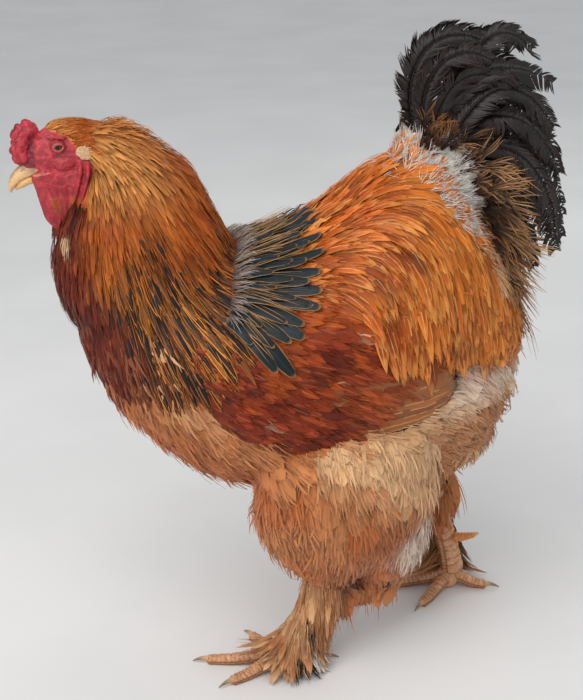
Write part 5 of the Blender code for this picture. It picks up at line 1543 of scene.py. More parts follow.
class COCK_OT_cape(bpy.types.Operator):
    """Broad glossy feathers between the shoulders, fanned from under the hackle, with thin buff edges"""
    bl_idname = "cock.cape"
    bl_label = "Cape"

    def execute(self, context):
        s, c = sizes(), colours()
        random = np.random.default_rng(31)
        coat = Coat("coat_cape")
        places = np.array([0.0, 0.15, 0.3, 0.45, 0.6, 0.72, 0.83, 0.92, 0.97, 1.0])
        for tier, (number, far) in enumerate(((9, 1.0), (9, 0.88), (8, 0.74), (8, 0.58))):
            for side in (1, -1):
                share = np.maximum(np.arange(number) + random.uniform(-0.2, 0.2, number) + 0.5 * (tier % 2), 0) / number
                angle = side * (3.0 + 52.0 * share**0.8)
                x = -0.088 - 0.016 * share - 0.004 * tier
                roots = torso.point(torso.at_x(x), angle)
                turned = np.radians(2.0 - 82.0 * share**1.25)
                heading = toward(np.cos(turned), np.sin(turned), number, random, 0.03)
                length = s.cape_length * far * random.uniform(0.93, 1.08, number)
                rises = rise_of(places, 0.001, 0.0078 + 0.0017 * tier, number, random, 0.0006)
                path, up = lay(roots, heading, length, places, rises, OVER_WING, None)
                wide = s.cape_width * random.uniform(0.88, 1.12, (number, 1)) * (1 - 0.10 * tier)
                width = wide * np.maximum(0.85 * rounded(places), pointed(places))[None]
                width[:, -1] = 0.0008
                fluff = mixed((0.22, 0.15, 0.135), c.cape, ease(places, 0.12, 0.30))
                tint = fluff[None] * random.uniform(0.7, 1.5, (number, 1, 1))
                mark = np.stack([np.zeros(number), 0.55 + 0.35 * random.random(number), np.zeros(number)], 1)
                coat.add(path, up, width, tint, mark, random.random(number), chart(0.2 + 0.2 * tier + 0.1 * share, angle),
                         ridge=0.05)
        for side in (1, -1):
            for number, reach, tone in ((130, (0.016, 0.030), (0.55, 0.44, 0.38)), (60, (0.050, 0.080), (0.62, 0.34, 0.13))):
                share = random.random(number)
                angle = side * (2.0 + 54.0 * share)
                roots = torso.point(torso.at_x(-0.090 - 0.018 * share), angle)
                turned = np.radians(2.0 - 82.0 * share**1.25)
                shade = np.broadcast_to(tone, (number, 3)) * random.uniform(0.5, 1.2, (number, 1))
                grow(coat, 0.1 + 0.8 * share, angle, roots, toward(np.cos(turned), np.sin(turned), number, random, 0.16),
                     random.uniform(*reach, number), 0.0009, shade, OVER_WING, random, WISP, lift=0.0150, root=-0.004,
                     loose=0.002)
        finish = vane_material("cape_feather", lace=(0.46, 0.23, 0.08), lace_width=0.10, shaft_strength=0.6,
                               shaft=(0.030, 0.026, 0.024), streak=1.5, fineness=12.0, length=2.0, roughness=0.40,
                               bump=0.0005, specular=0.30)
        coat.build(finish)
        return {"FINISHED"}


def from_tail_root(points):
    """How far points are from the line round the tail's root, where along it, and the way there."""
    share = np.linspace(0, 1, 60)
    line = np.stack([np.interp(share, TAIL_ROOT[:, 0], TAIL_ROOT[:, k]) for k in (1, 2)], 1)
    away = line[None] - points[:, None, [0, 2]]
    k = (away**2).sum(2).argmin(axis=1)
    nearest = away[np.arange(len(points)), k]
    return np.linalg.norm(nearest, axis=1), share[k], unit(nearest)


class COCK_OT_saddle(bpy.types.Operator):
    """Back and saddle: long bright orange and gold feathers that sweep back and hang over the wing"""
    bl_idname = "cock.saddle"
    bl_label = "Saddle"

    def execute(self, context):
        s = sizes()
        random = np.random.default_rng(41)
        finish = vane_material("saddle_feather", shaft=(1.0, 0.66, 0.30), shaft_strength=0.40, streak=1.5,
                               lace=(0.88, 0.36, 0.075), lace_width=0.30, fineness=9.0, length=1.0, roughness=0.45)

        def flow(points):
            angle = np.abs(torso.locate(points)[1])
            fall = np.clip(0.06 + 1.05 * ease(angle, 6, 64) * ease(points[:, 0], -0.09, 0.10), 0, 1)
            return np.stack([1.0 - 0.82 * fall, np.zeros(len(points)), -0.95 * fall - 0.04], 1)

        def marks(seen):
            return np.stack([np.zeros(len(seen)), 0.55 * random.random(len(seen)), np.zeros(len(seen))], 1)

        for name, low, high in (("back", -0.052, 0.070), ("rump", 0.062, 0.236)):
            coat = Coat(f"coat_saddle_{name}")
            for kind in ("vane", "fan", "strand"):
                gap = {"vane": 0.0049, "fan": 0.0104, "strand": 0.0066}[kind]
                u, angle = scatter(torso, (torso.at_x(low), torso.at_x(high)), (-84, 84), gap, random, stretch=1.8)
                roots = torso.point(u, angle)
                keep = np.abs(angle) < 48 + 28 * ease(roots[:, 0], -0.03, 0.12) + 7 * noise(roots, 0.016, 4) + 20 * ease(roots[:, 0], 0.19, 0.22)
                u, angle, roots = pick(keep & (neck.locate(roots)[2] > -0.01), u, angle, roots)
                count = len(u)
                length = s.saddle_length * (0.52 + 0.48 * ease(roots[:, 0], -0.05, 0.08)) * random.uniform(0.75, 1.15, count)
                length *= (1 - 0.35 * ease(roots[:, 0], 0.16, 0.21)) * (1 - 0.25 * ease(np.abs(angle), 56, 76))
                length *= 1 + 0.32 * noise(roots, 0.022, 14)
                heading = flow(roots) + random.normal(0, 0.06 if kind == "vane" else 0.11, (count, 3))
                gap, share, way = from_tail_root(roots)
                straight = np.maximum((unit(heading)[:, [0, 2]] * way).sum(1), 0.25)
                length = np.minimum(length, np.maximum(gap - 0.030 * ease(np.abs(angle), 75, 30), 0.006) / straight + ease(share, 0.50, 0.68))
                bunch = (0.0034 * noise(roots, 0.024, 6) - 0.0016 * ease(roots[:, 0], 0.04, 0.0))[:, None]
                wide = s.saddle_width * random.uniform(0.7, 1.15, count)
                if kind == "vane":
                    grow(coat, u, angle, roots, heading, length, wide, torso_tint, OVER_WING, random, lift=0.0038 + bunch,
                         loose=0.0026, flow=flow, turn=0.4, marks=marks, vary=0.24, dark=0.22)
                elif kind == "fan":
                    grow(coat, u, angle, roots, heading, length, wide, lambda p: glints(torso_tint(p), random, 1.4),
                         OVER_WING, random, lift=0.0044 + bunch, loose=0.0018, flow=flow, turn=0.4, vary=0.15, dark=0.40,
                         strands=4, splay=0.35, thick=1.0, fray=0.25)
                else:
                    grow(coat, u, angle, roots, heading, length * random.uniform(0.4, 1.0, count),
                         0.0008 * random.uniform(0.7, 1.6, count), lambda p: glints(torso_tint(p), random, 1.5, 0.35),
                         OVER_WING, random, WISP, root=0.001, lift=0.0056 + bunch, loose=0.0022, flow=flow, turn=0.4, dark=0.6)
            coat.build(finish)
        return {"FINISHED"}


def bay_edge(z):
    """How far back the wing's small feathers reach at each height."""
    return np.interp(z, [0.300, 0.312, 0.350, 0.377, 0.392], [0.006, 0.030, 0.068, 0.100, 0.140])


class COCK_OT_wings(bpy.types.Operator):
    """Folded wings: silky mahogany bow and coverts over broad tan wing feathers with dark edges"""
    bl_idname = "cock.wings"
    bl_label = "Wings"

    def execute(self, context):
        s, c = sizes(), colours()
        random = np.random.default_rng(51)
        bow = vane_material("bow_feather", shaft=(0.80, 0.30, 0.10), shaft_strength=0.25, streak=1.5,
                            fineness=9.0, length=1.0, roughness=0.45)
        bay = vane_material("bay_feather", lace=(0.62, 0.30, 0.11), lace_width=0.16, tip=(0.06, 0.020, 0.010),
                            shaft=(0.12, 0.045, 0.020), shaft_strength=0.8, streak=1.2, fineness=4.0, length=70.0,
                            roughness=0.5, bump=0.0004)

        def bow_tint(points):
            angle = np.abs(torso.locate(points)[1])
            warm = 0.25 + 0.9 * noise(points, 0.022, 8) + 0.9 * ease(angle, 86, 54) - 0.45 * ease(angle, 90, 110)
            tint = mixed(c.bow, c.orange, np.clip(0.85 * warm, 0, 1))
            tint = mixed(tint, np.array(c.bow) * 0.4, 0.75 * ease(noise(points, 0.015, 18), 0.0, 0.5) * ease(angle, 62, 90))
            tint = mixed(tint, (0.50, 0.115, 0.025), 0.6 * ease(points[:, 0], 0.01, 0.09) * ease(angle, 84, 104))
            spots = np.zeros(len(points))
            for x, z, wide in ((0.043, 0.435, 0.010), (0.056, 0.424, 0.008), (-0.053, 0.339, 0.010), (0.075, 0.380, 0.006)):
                spots = np.maximum(spots, ease(np.hypot((points[:, 0] - x) / 1.5, points[:, 2] - z), wide, wide * 0.4))
            return mixed(tint, (0.80, 0.52, 0.33), 0.55 * spots * (random.random(len(points)) < 0.45))

        for side, name in ((1, "left"), (-1, "right")):
            quills = Coat(f"coat_wing_quills_{name}")
            places = np.array([0.0, 0.12, 0.26, 0.40, 0.54, 0.67, 0.78, 0.87, 0.94, 0.98, 1.0])
            number = 8
            share = np.arange(number) / (number - 1)
            angle = side * (118.5 - 25.0 * share)
            roots = torso.point(torso.at_x(-0.045 + 0.020 * share), angle)
            end = np.interp(share, [0.0, 0.25, 0.6, 1.0], [0.112, 0.142, 0.152, 0.140])
            rises = np.broadcast_to((0.0006 + 0.00045 * np.arange(number))[:, None], (number, len(places)))
            rises = rises + 0.0006 * places[None]
            path, up = lay(roots, toward(1.0, 0.10 - 0.12 * share, number, random, 0.0), end - roots[:, 0], places, rises, ON_WING)
            width = 0.0225 * np.minimum(rounded(places) * 1.15, 1.0)[None] * np.ones((number, 1))
            width[:, -1] = 0.0012
            tan = np.broadcast_to(c.bay, (number, 3)) * random.uniform(0.8, 1.2, (number, 1))
            tan = np.where((share < 0.1)[:, None], (0.020, 0.012, 0.010), tan)
            mark = np.stack([np.zeros(number), np.full(number, 0.8) * (share > 0.1), np.full(number, 0.8)], 1)
            # Painted shade: the wing feathers darken to 0.7 of their tan at the root, where the feathers over them
            # shade them.
            quills.add(path, up, width, ring_tints(tan * 0.7, tan, places), mark, random.random(number),
                       chart(0.1 + 0.8 * share, angle), ridge=0.020, camber=0.03)
            quills.build(bay)
            coat = Coat(f"coat_wing_bow_{name}")
            for kind in ("vane", "fan", "strand"):
                gap = {"vane": 0.0052, "fan": 0.0092, "strand": 0.0066}[kind]
                u, angle = scatter(torso, (torso.at_x(-0.160), torso.at_x(0.120)), (40, 124), gap, random, stretch=1.4)
                roots = torso.point(u, side * angle)
                length = s.bow_length * (0.75 + 0.35 * ease(roots[:, 0], -0.12, 0.0)) * random.uniform(0.8, 1.25, len(u))
                keep = (wing_profile(roots[:, 0], angle) > 0.0015) | ((angle < 60) & (np.abs(roots[:, 0]) < 0.06))
                keep &= roots[:, 0] + 0.85 * length < bay_edge(roots[:, 2]) + random.normal(0, 0.006, len(u))
                u, angle, roots, length = pick(keep, u, angle, roots, length)
                count = len(u)
                heading = toward(0.86, -0.40, count, random, 0.08 if kind == "vane" else 0.15)
                bunch = 0.0012 * noise(roots, 0.020, 6)[:, None]
                wide = s.bow_width * random.uniform(0.75, 1.2, count)
                if kind == "vane":
                    grow(coat, u, side * angle, roots, heading, length, wide, bow_tint, ON_WING, random, root=-0.0006,
                         lift=0.0042 + bunch, loose=0.0016, vary=0.13, dark=0.50)
                elif kind == "fan":
                    grow(coat, u, side * angle, roots, heading, length, wide, lambda p: glints(bow_tint(p), random, 1.25),
                         ON_WING, random, root=-0.0008, lift=0.0046 + bunch, loose=0.0014, vary=0.17, dark=0.5,
                         strands=5, splay=0.8, thick=1.0, fray=0.35)
                else:
                    grow(coat, u, side * angle, roots, heading, length * random.uniform(0.5, 1.1, count),
                         0.0008 * random.uniform(0.7, 1.5, count), lambda p: glints(bow_tint(p), random, 1.45, 0.25), ON_WING,
                         random, WISP, root=-0.0008, lift=0.0056 + bunch, loose=0.0016)
            coat.build(bow)
        return {"FINISHED"}


def soft_coat(coat, place, angle, roots, heading, length, width, tint, flow, random, bunch, shown, forms=BODY):
    """Full soft feathers: rounded vanes, each with a frayed edge of fine barbs, and a few loose strands."""
    count = len(roots)
    spots = chart(place, angle)
    for places, shape, spread, lift in ((ROUNDED, rounded, 0.86, 0.0018), (POINTED, pointed, 0.74, 0.0040)):
        rises = rise_of(places, 0.005, lift + bunch, count, random, 0.0014)
        path, up = lay(roots, heading + random.normal(0, 0.06, roots.shape), length * (1.0 if lift > 0.003 else 0.8), places,
                       rises, forms, flow, 0.5)
        colour = np.clip(tint(path[:, -2]) * (1 + 0.07 * random.normal(0, 1, (count, 1))), 0.003, 0.97)
        tone = 0.35 + 0.30 * random.random(count)
        # Painted shade: each vane darkens to 0.70 of its tint at the root, under the feathers over it.
        coat.add(path, up, (width * spread)[:, None] * np.maximum(rounded(places), shape(places))[None],
                 ring_tints(colour * 0.70, colour, places), (0, 0, 0), tone, spots)
        if lift > 0.003:
            some = shown
            longer = path + (path - path[:, :1]) * 0.24
            # Painted shade at the frayed edges' roots, 0.80 of the tint, up to a slightly lighter tip.
            fans(coat, longer[some], up[some], places, width[some], colour[some] * 0.80, np.clip(colour[some] * 1.06, 0, 0.97),
                 spots[some], random, 7, 0.45, 1.15, 0.66, curl=0.14, tones=(0.1, 0.9), start=0.25)
    some = shown & (random.random(count) < 0.8)
    grow(coat, place[some], angle[some], roots[some] + random.normal(0, 0.006, (some.sum(), 3)),
         heading[some] + random.normal(0, 0.25, (some.sum(), 3)), length[some] * random.uniform(0.5, 0.95, some.sum()), 0.0007,
         lambda p: glints(tint(p), random, 1.15), forms, random, WISP, root=0.001, lift=0.0064 + bunch[some], loose=0.0030,
         flow=flow, turn=0.3)


class COCK_OT_breast(bpy.types.Operator):
    """Rounded soft feathers of breast, belly and rear, with frayed edges and loose strands over them"""
    bl_idname = "cock.breast"
    bl_label = "Breast and belly"

    def execute(self, context):
        s = sizes()
        random = np.random.default_rng(61)
        finish = vane_material("breast_feather", shaft_strength=0.04, streak=0.9, fineness=14.0, length=1.0,
                               roughness=0.8, specular=0.10, Sheen_Weight=0.25)

        def flow(points):
            front, rear = ease(points[:, 0], 0.02, -0.20), ease(points[:, 0], 0.09, 0.20)
            return np.stack([0.9 - 0.35 * front - 0.45 * rear, np.zeros(len(points)), -0.25 - 0.55 * front - 0.6 * rear], 1)

        middle = torso.at_x(0.02)
        for name, low, high in (("breast", 0.004, middle), ("belly", middle, 0.998)):
            coat = Coat(f"coat_{name}")
            u, angle = scatter(torso, (low, high), (64, 296), 0.0130, random)
            angle = (angle + 180) % 360 - 180
            roots = torso.point(u, angle)
            side = np.abs(angle)
            covered = (wing_profile(roots[:, 0], side) > 0.002) & (side < 106)
            keep = (cover(roots, BODY[2:6])[0] > -0.012) & ~covered & (neck.locate(roots)[2] > -0.012)
            u, angle, roots = pick(keep, u, angle, roots)
            count = len(u)
            rear = ease(roots[:, 0], 0.10, 0.20)
            bunch = 0.0034 * noise(roots, 0.034, 6)[:, None]
            swirl = np.stack([0.35 * noise(roots, 0.04, 9), np.zeros(count), 0.35 * noise(roots, 0.04, 19)], 1)
            heading = flow(roots) + random.normal(0, 0.12, (count, 3)) + swirl
            length = s.breast_length * (1 + 0.25 * rear) * random.uniform(0.8, 1.2, count)
            width = s.breast_width * (1 - 0.3 * rear) * random.uniform(0.8, 1.2, count)
            shown = cover(roots, BODY[2:6])[0] > -0.010
            soft_coat(coat, u, angle, roots, heading, length, width, torso_tint, flow, random, bunch, shown)
            coat.build(finish)
        return {"FINISHED"}


class COCK_OT_thighs(bpy.types.Operator):
    """Soft full feathers of the thighs and the fluff behind them"""
    bl_idname = "cock.thighs"
    bl_label = "Thighs"

    def execute(self, context):
        s = sizes()
        random = np.random.default_rng(71)
        finish = vane_material("thigh_feather", shaft_strength=0.03, streak=0.9, fineness=16.0, length=1.0,
                               roughness=0.8, specular=0.08, Sheen_Weight=0.3)
        for side in ("left", "right"):
            coat = Coat(f"coat_thigh_{side}")
            lower = shanks[side].centre[12]

            def flow(points):
                swirl = 0.55 * noise(points, 0.05, 13)
                return np.stack([0.20 + swirl, np.zeros(len(points)), -np.ones(len(points))], 1) + pull * unit(lower - points)

            for part, form in enumerate((thighs[side], fluffs[side])):
                pull = 0.30 * (1 - part)
                others = [(f, h) for f, h in BODY if f is not form]
                u, angle = scatter(form, (0.02, 0.985), (-180, 180), 0.0128, random)
                roots = form.point(u, angle)
                apart = cover(roots, others)[0]
                u, angle, roots, apart = pick(apart > -0.012, u, angle, roots, apart)
                count = len(u)
                heading = flow(roots) + random.normal(0, 0.16, (count, 3))
                length = s.thigh_length * random.uniform(0.75, 1.25, count) * (1 + 0.45 * ease(u, 0.70, 0.95) * (1 - part) - 0.25 * part)
                width = s.thigh_width * random.uniform(0.8, 1.2, count) * (1 - 0.45 * ease(u, 0.70, 0.95))
                bunch = 0.0042 * noise(roots, 0.032, 6)[:, None]
                shown = apart > -0.0115
                own = [(thighs[side], None), (fluffs[side], None), (torso, None)]
                soft_coat(coat, (u + part) / 2.04, angle, roots, heading, length, width, thigh_tint, flow, random,
                          bunch, shown, own)
            coat.build(finish)
        return {"FINISHED"}


class COCK_OT_boots(bpy.types.Operator):
    """Feathered shanks and outer toes: matted along the shank, spread out over the floor"""
    bl_idname = "cock.boots"
    bl_label = "Boots"

    def execute(self, context):
        s, c = sizes(), colours()
        random = np.random.default_rng(81)
        finish = vane_material("boot_feather", lace=(0.80, 0.50, 0.28), lace_width=0.25, tip=(0.015, 0.013, 0.012),
                               shaft=(0.80, 0.55, 0.34), shaft_strength=0.30, streak=1.5, fineness=11.0, roughness=0.65,
                               specular=0.15)
        for side in ("left", "right"):
            coat = Coat(f"coat_boot_{side}")
            shank = shanks[side]
            sign = 1 if side == "left" else -1
            for kind, number in (("vane", 190), ("fan", 300), ("strand", 380)):
                u = random.uniform(0.0, 0.95, number)
                angle = random.uniform(12, 186, number)
                root = shank.point(u, sign * angle, -0.001)
                outward = unit((shank.point(u, sign * angle, 0.01) - shank.point(u, sign * angle)) * np.array([1.0, 1.0, 0.0]))
                outward = unit(outward + random.normal(0, 0.20, (number, 3)) * np.array([1.0, 1.0, 0.0]))
                length = s.boot_length * (1.08 - 0.42 * u) * random.uniform(0.7, 1.1, number)
                lean = 0.12 + 0.95 * ease(u, 0.30, 1.0) + random.uniform(-0.08, 0.10, number)
                goal = root + unit(outward * lean[:, None] - UP) * length[:, None]
                low = 0.0015 + 0.0060 * random.random(number) + 0.024 * ease(angle, 122, 146)
                goal = goal + outward * (0.55 * np.clip(low - goal[:, 2], 0, 1))[:, None]
                goal[:, 2] = np.maximum(goal[:, 2], low)
                middle = root + unit(outward * (0.35 + 0.8 * u)[:, None] - UP) * (length * 0.5)[:, None]
                middle[:, 2] = np.maximum(middle[:, 2], (root[:, 2] + goal[:, 2]) / 2 + 0.002)
                places = WISP if kind == "strand" else POINTED
                t = places[None, :, None]
                path = root[:, None] * (1 - t) ** 2 + 2 * middle[:, None] * t * (1 - t) + goal[:, None] * t**2
                path[..., 2] = np.maximum(path[..., 2], 0.0012)
                up = np.broadcast_to(unit(outward * 0.8 + UP * 0.6)[:, None], path.shape)
                tint = mixed(c.boot, c.cream, np.clip(0.15 + 0.45 * noise(goal, 0.02, 3) + 0.2 * random.normal(0, 1, number), 0, 0.9))
                tint = mixed(tint, c.salmon, np.clip(0.7 * noise(root, 0.02, 8), 0, 0.8))
                black = (np.abs(angle - 72) < 15) & (u > 0.72) & (random.random(number) < 0.65)
                black |= (np.abs(angle - 104) < 6) & (np.abs(u - 0.45) < 0.06)
                pale = (np.abs(angle - 46) < 24) & (u > 0.60) & ~black & (random.random(number) < 0.75)
                tint = mixed(tint, c.white, 0.85 * pale)
                tint = np.where(black[:, None], 0.018, tint * random.uniform(0.8, 1.15, (number, 1)))
                spots = chart(u, sign * angle)
                if kind == "fan":
                    wide = 0.0165 * random.uniform(0.6, 1.2, number)
                    # Painted shade: the strands darken to 0.62 of their tint at the root.
                    fans(coat, path, up, places, wide, tint * 0.62, tint, spots, random, 8, 0.5, 1.0, 0.95, curl=0.10)
                    continue
                shape = 0.6 * pointed(places) + 0.4 * rounded(places)
                wide = 0.0009 * random.uniform(0.7, 1.5, number) if kind == "strand" else 0.0098 * random.uniform(0.6, 1.2, number)
                # Painted shade: the vanes darken to 0.6 of their tint at the root.
                coat.add(path, up, wide[:, None] * shape[None], ring_tints(tint * 0.6, tint, places),
                         np.stack([np.zeros(number), 0.4 * random.random(number) * ~black, 1.0 * black], 1),
                         random.random(number), spots)
            coat.build(finish)
        return {"FINISHED"}


def bezier(points, t):
    """A curve through two ends, drawn by two controls."""
    a, b, c, d = (np.asarray(p, float) for p in points)
    t = np.asarray(t)[:, None]
    return a * (1 - t) ** 3 + 3 * b * t * (1 - t) ** 2 + 3 * c * t**2 * (1 - t) + d * t**3


def barbed(coat, shaft, over, half, number, fray, random, root_tint, tip_tint, spot, outer, rings=5, quill=0.0014):
    """A feather made of its shaft and separate barbs on both sides, which lean to its tip and part into locks."""
    t_shaft = np.linspace(0, 1, len(shaft))
    along = unit(np.gradient(shaft, axis=0))
    across = unit(np.cross(along, over))
    over = unit(np.cross(across, along))
    wide = quill * (1 - 0.7 * t_shaft)
    coat.add(shaft[None], over[None], wide[None], np.broadcast_to(np.asarray(root_tint) * 1.3, (1, len(shaft), 3)),
             (0, 0, 0), random.random(1), np.array([[spot, 0.01]]), ridge=0.3, camber=0.0)
    spacing = np.linalg.norm(np.diff(shaft, axis=0), axis=1).sum() / number

    def read(rows, t):
        return np.stack([np.interp(t, t_shaft, rows[:, i]) for i in range(3)], -1)

    for edge in (-1, 1):
        t = np.clip(np.linspace(0.06, 1.0, number) + random.normal(0, 0.25 / number, number), 0.03, 1)
        lock = np.cumsum(random.random(number) < 0.17)
        lock -= lock[0]
        own = random.random(lock[-1] + 1)[lock] ** 1.3
        bend = random.normal(0, 1, lock[-1] + 1)[lock] + random.normal(0, 0.3, number)
        point, ahead, out, up = read(shaft, t), unit(read(along, t)), unit(read(across, t)) * edge, unit(read(over, t))
        reach = half * (0.45 + 0.55 * ease(t, 0.0, 0.3)) * np.sqrt(np.clip(1 - ((t - 0.72) / 0.34) ** 2 * (t > 0.72), 0.15, 1))
        wild = fray * own
        reach *= random.uniform(0.85, 1.15, number) * (1 + 0.5 * wild) * (0.62 if edge == outer else 1.0)
        direction = unit(out * 0.85 + ahead * 0.60)
        path = [point]
        for k in range(1, rings):
            path.append(path[-1] + direction * (1.22 * reach / (rings - 1))[:, None])
            curl = up * (0.50 * wild * bend)[:, None] + ahead * (0.22 + 0.55 * wild * bend)[:, None]
            direction = unit(direction + curl - up * 0.10 - UP * (0.06 + 0.14 * wild)[:, None])
        path = np.stack(path, 1)
        mean = np.stack([path[lock == n].mean(axis=0) for n in range(lock[-1] + 1)])[lock]
        gather = (0.55 * np.linspace(0, 1, rings) ** 1.5)[None, :, None] * (0.5 + 0.5 * own)[:, None, None]
        path = path + (mean - path) * gather
        profile = np.interp(np.linspace(0, 1, rings), [0, 0.6, 1.0], [1.0, 0.85, 0.12])
        width = spacing * random.uniform(0.9, 1.6, number)[:, None] * profile[None] * (1 - 0.35 * wild)[:, None]
        tip = mixed(tip_tint[0], tip_tint[1], own * random.random(number))
        tip = tip * random.uniform(0.75, 1.25, (number, 1))
        root = np.broadcast_to(root_tint, (number, 3)) * random.uniform(0.75, 1.25, (number, 1))
        spots = np.stack([np.clip(spot + 0.006 * edge + 0 * t, 0.01, 0.99), 0.02 + 0.96 * t], 1)
        coat.add(path, np.broadcast_to(up[:, None], path.shape), width,
                 ring_tints(root, tip, np.linspace(0, 1, rings), 1.6), (0, 0, 0), random.random(number), spots)


def tail_root(share):
    """A place on the line round the tail's root and the way its feathers point, in the upright plane."""
    x, z, turn = (np.interp(share, TAIL_ROOT[:, 0], TAIL_ROOT[:, k]) for k in (1, 2, 3))
    turn = np.radians(turn)
    return x, z, np.cos(turn), np.sin(turn)


class COCK_OT_tail(bpy.types.Operator):
    """Black tail with frayed barbs, curly laced coverts and the white down at its root"""
    bl_idname = "cock.tail"
    bl_label = "Tail"

    def execute(self, context):
        c = colours()
        random = np.random.default_rng(91)
        dark = vane_material("tail_feather", shaft_strength=0.0, streak=0.9, fineness=3.0, length=2.0,
                             roughness=0.38, bump=0.0003, specular=0.42)
        t = np.linspace(0, 1, 16)
        for side, name in ((1, "left"), (-1, "right")):
            coat = Coat(f"coat_tail_{name}")
            for k, (*line, y_root, y_end, half) in enumerate(PLUMES):
                line = np.array(line) + random.normal(0, 0.0055, (4, 2)) * np.array([[0.2], [1.0], [1.0], [0.6]])
                flat = bezier(line, t)
                bow = min(1.0, y_end / 0.036) ** 2 * (0.010 * np.sin(math.pi * t) + 0.006 * np.sin(2 * math.pi * t + random.uniform(0, 6)))
                y = y_root + (y_end - y_root) * t + bow + random.normal(0, 0.0015)
                shaft = np.stack([flat[:, 0], -side * y, flat[:, 1]], 1)
                tilt = unit(np.array([-0.25, -side, 0.25]) + random.normal(0, 0.30, 3))
                barbed(coat, shaft, tilt, half, 90, 0.75 + 0.25 * (k % 3 == 0), random, c.black,
                       (np.array(c.black) * 1.2, (0.065, 0.026, 0.015)), 0.04 + 0.92 * (k + 0.5) / len(PLUMES), -side)
            coat.build(dark)
        self.coverts(random)
        self.down(random)
        return {"FINISHED"}

    def coverts(self, random):
        """Curly coverts with dark roots and buff, rusty or pale frayed ends, fanned over the tail's root."""
        c = colours()
        places = POINTED
        t = places[None, :, None]
        finish = vane_material("covert_feather", shaft_strength=0.0, streak=0.9, fineness=3.0, roughness=0.6)
        for side, name in ((1, "left"), (-1, "right")):
            coat = Coat(f"coat_coverts_{name}")
            for number, low, high, reach, wide, out in (
                (170, 0.0, 1.0, (0.026, 0.046), 0.0105, (-0.010, 0.022)), (120, 0.36, 0.99, (0.034, 0.066), 0.0140, (0.0, 0.026)),
            ):
                share = np.clip(random.uniform(low, high, number), 0, 1)
                x, z, dx, dz = tail_root(share)
                layer = random.uniform(*out, number)
                y = 0.003 + 0.046 * random.random(number) ** 0.8 * (1 - 0.35 * share)
                root = np.stack([x + layer * dx, -side * y, z + layer * dz], 1) + random.normal(0, 0.004, (number, 3)) * (1, 0, 1)
                length = random.uniform(*reach, number)
                bend = random.normal(0.0 if wide < 0.012 else -0.15, 0.25, number)
                way = unit(np.stack([dx - bend * dz, -side * random.uniform(0.05, 0.45, number), dz + bend * dx], 1))
                twist = random.normal(0, 0.35, number)
                side_way = np.stack([-dz, 0 * dz, dx], 1) * (twist * length)[:, None]
                path = root[:, None] + way[:, None] * (length[:, None, None] * t) + side_way[:, None] * t**2
                path = path - UP * (length * random.uniform(0.05, 0.30 if wide < 0.012 else 0.65, number))[:, None, None] * t**2
                up = np.broadcast_to(unit(np.array([-0.2, -side, 0.3])), path.shape)
                kind = random.random(number)
                if wide > 0.012:
                    tip = mixed(c.buff, (0.95, 0.52, 0.24), random.random(number)) * random.uniform(0.9, 1.25, (number, 1))
                    core = mixed(c.black, (0.05, 0.018, 0.010), random.random(number))
                else:
                    upper = ease(share, 0.5, 0.15)
                    tip = np.where((kind < 0.42)[:, None], np.array(c.buff) * random.uniform(0.7, 1.35, (number, 1)),
                                   np.where((kind < 0.68)[:, None], (0.40, 0.11, 0.025), np.array(c.black) * 1.5))
                    tip = mixed(tip, (0.80, 0.38, 0.13), 0.5 * upper * (kind < 0.68))
                    core = mixed(c.black, (0.12, 0.03, 0.010), random.random(number) * 0.5)
                fans(coat, path, up, places, wide * random.uniform(0.7, 1.2, number), core, np.clip(tip, 0, 0.95),
                     np.stack([0.5 + side * (0.05 + 8 * y), 0.02 + 0.95 * share], 1), random, 7, 0.5, 1.25, 0.80,
                     power=3.2 if wide < 0.012 else 2.6, curl=0.30)
            coat.build(finish)

    def down(self, random):
        """White down in front of the tail's root, passing into pale fringes down the rump's edge."""
        c = colours()
        coat = Coat("coat_tail_down")
        finish = vane_material("down_feather", shaft_strength=0.0, streak=0.5, fineness=4.0, roughness=0.9, specular=0.05)
        for form, places, angles in ((torso, (torso.at_x(0.06), 0.96), (-46, 46)), (tail_core, (0.02, 0.9), (-120, 120))):
            u, angle = scatter(form, places, angles, 0.0084, random)
            roots = form.point(u, angle)
            share = from_tail_root(roots)[1]
            x, z, dx, dz = tail_root(share)
            out = (roots[:, 0] - x) * dx + (roots[:, 2] - z) * dz
            band = 0.046 - 0.026 * ease(share, 0.4, 0.8)
            keep = (out > -band) & (out < 0.010 + 0.006 * noise(roots, 0.012, 3)) & (random.random(len(u)) < 1 - 0.6 * ease(share, 0.5, 0.8))
            if form is torso:
                keep &= tail_core.locate(roots)[2] > -0.004
            else:
                keep &= torso.locate(roots)[2] > -0.004
            u, angle, roots, share, out, dx, dz = pick(keep, u, angle, roots, share, out, dx, dz)
            count = len(u)
            heading = np.stack([dx, np.zeros(count), dz], 1) + random.normal(0, 0.20, (count, 3))
            length = random.uniform(0.014, 0.026, count) * (1 + 0.6 * ease(share, 0.5, 0.8))
            pale = mixed(c.white, c.cream, np.clip(0.10 * random.normal(0, 1, count) + 0.85 * ease(share, 0.45, 0.85), 0, 1))
            place, over = (u if form is torso else 0.5 * u), [(torso, wing_cover), (tail_core, None)]
            grow(coat, place, angle, roots, heading, length, 0.0100, pale * (0.84, 0.80, 0.77), over, random, ROUNDED, rounded,
                 root=0.001, lift=0.0030, loose=0.0014, vary=0.10, dark=0.7)
            for lift, reach in ((0.0060, 1.0), (0.0098, 1.35)):
                grow(coat, place, angle, roots, heading + random.normal(0, 0.30, (count, 3)), length * reach, 0.0125, pale, over,
                     random, root=0.001, lift=lift, loose=0.0034, vary=0.06, dark=0.80, strands=10, fray=0.7, splay=1.5,
                     thick=0.50, curl=0.30, tones=(0.3, 0.9))
        coat.build(finish)


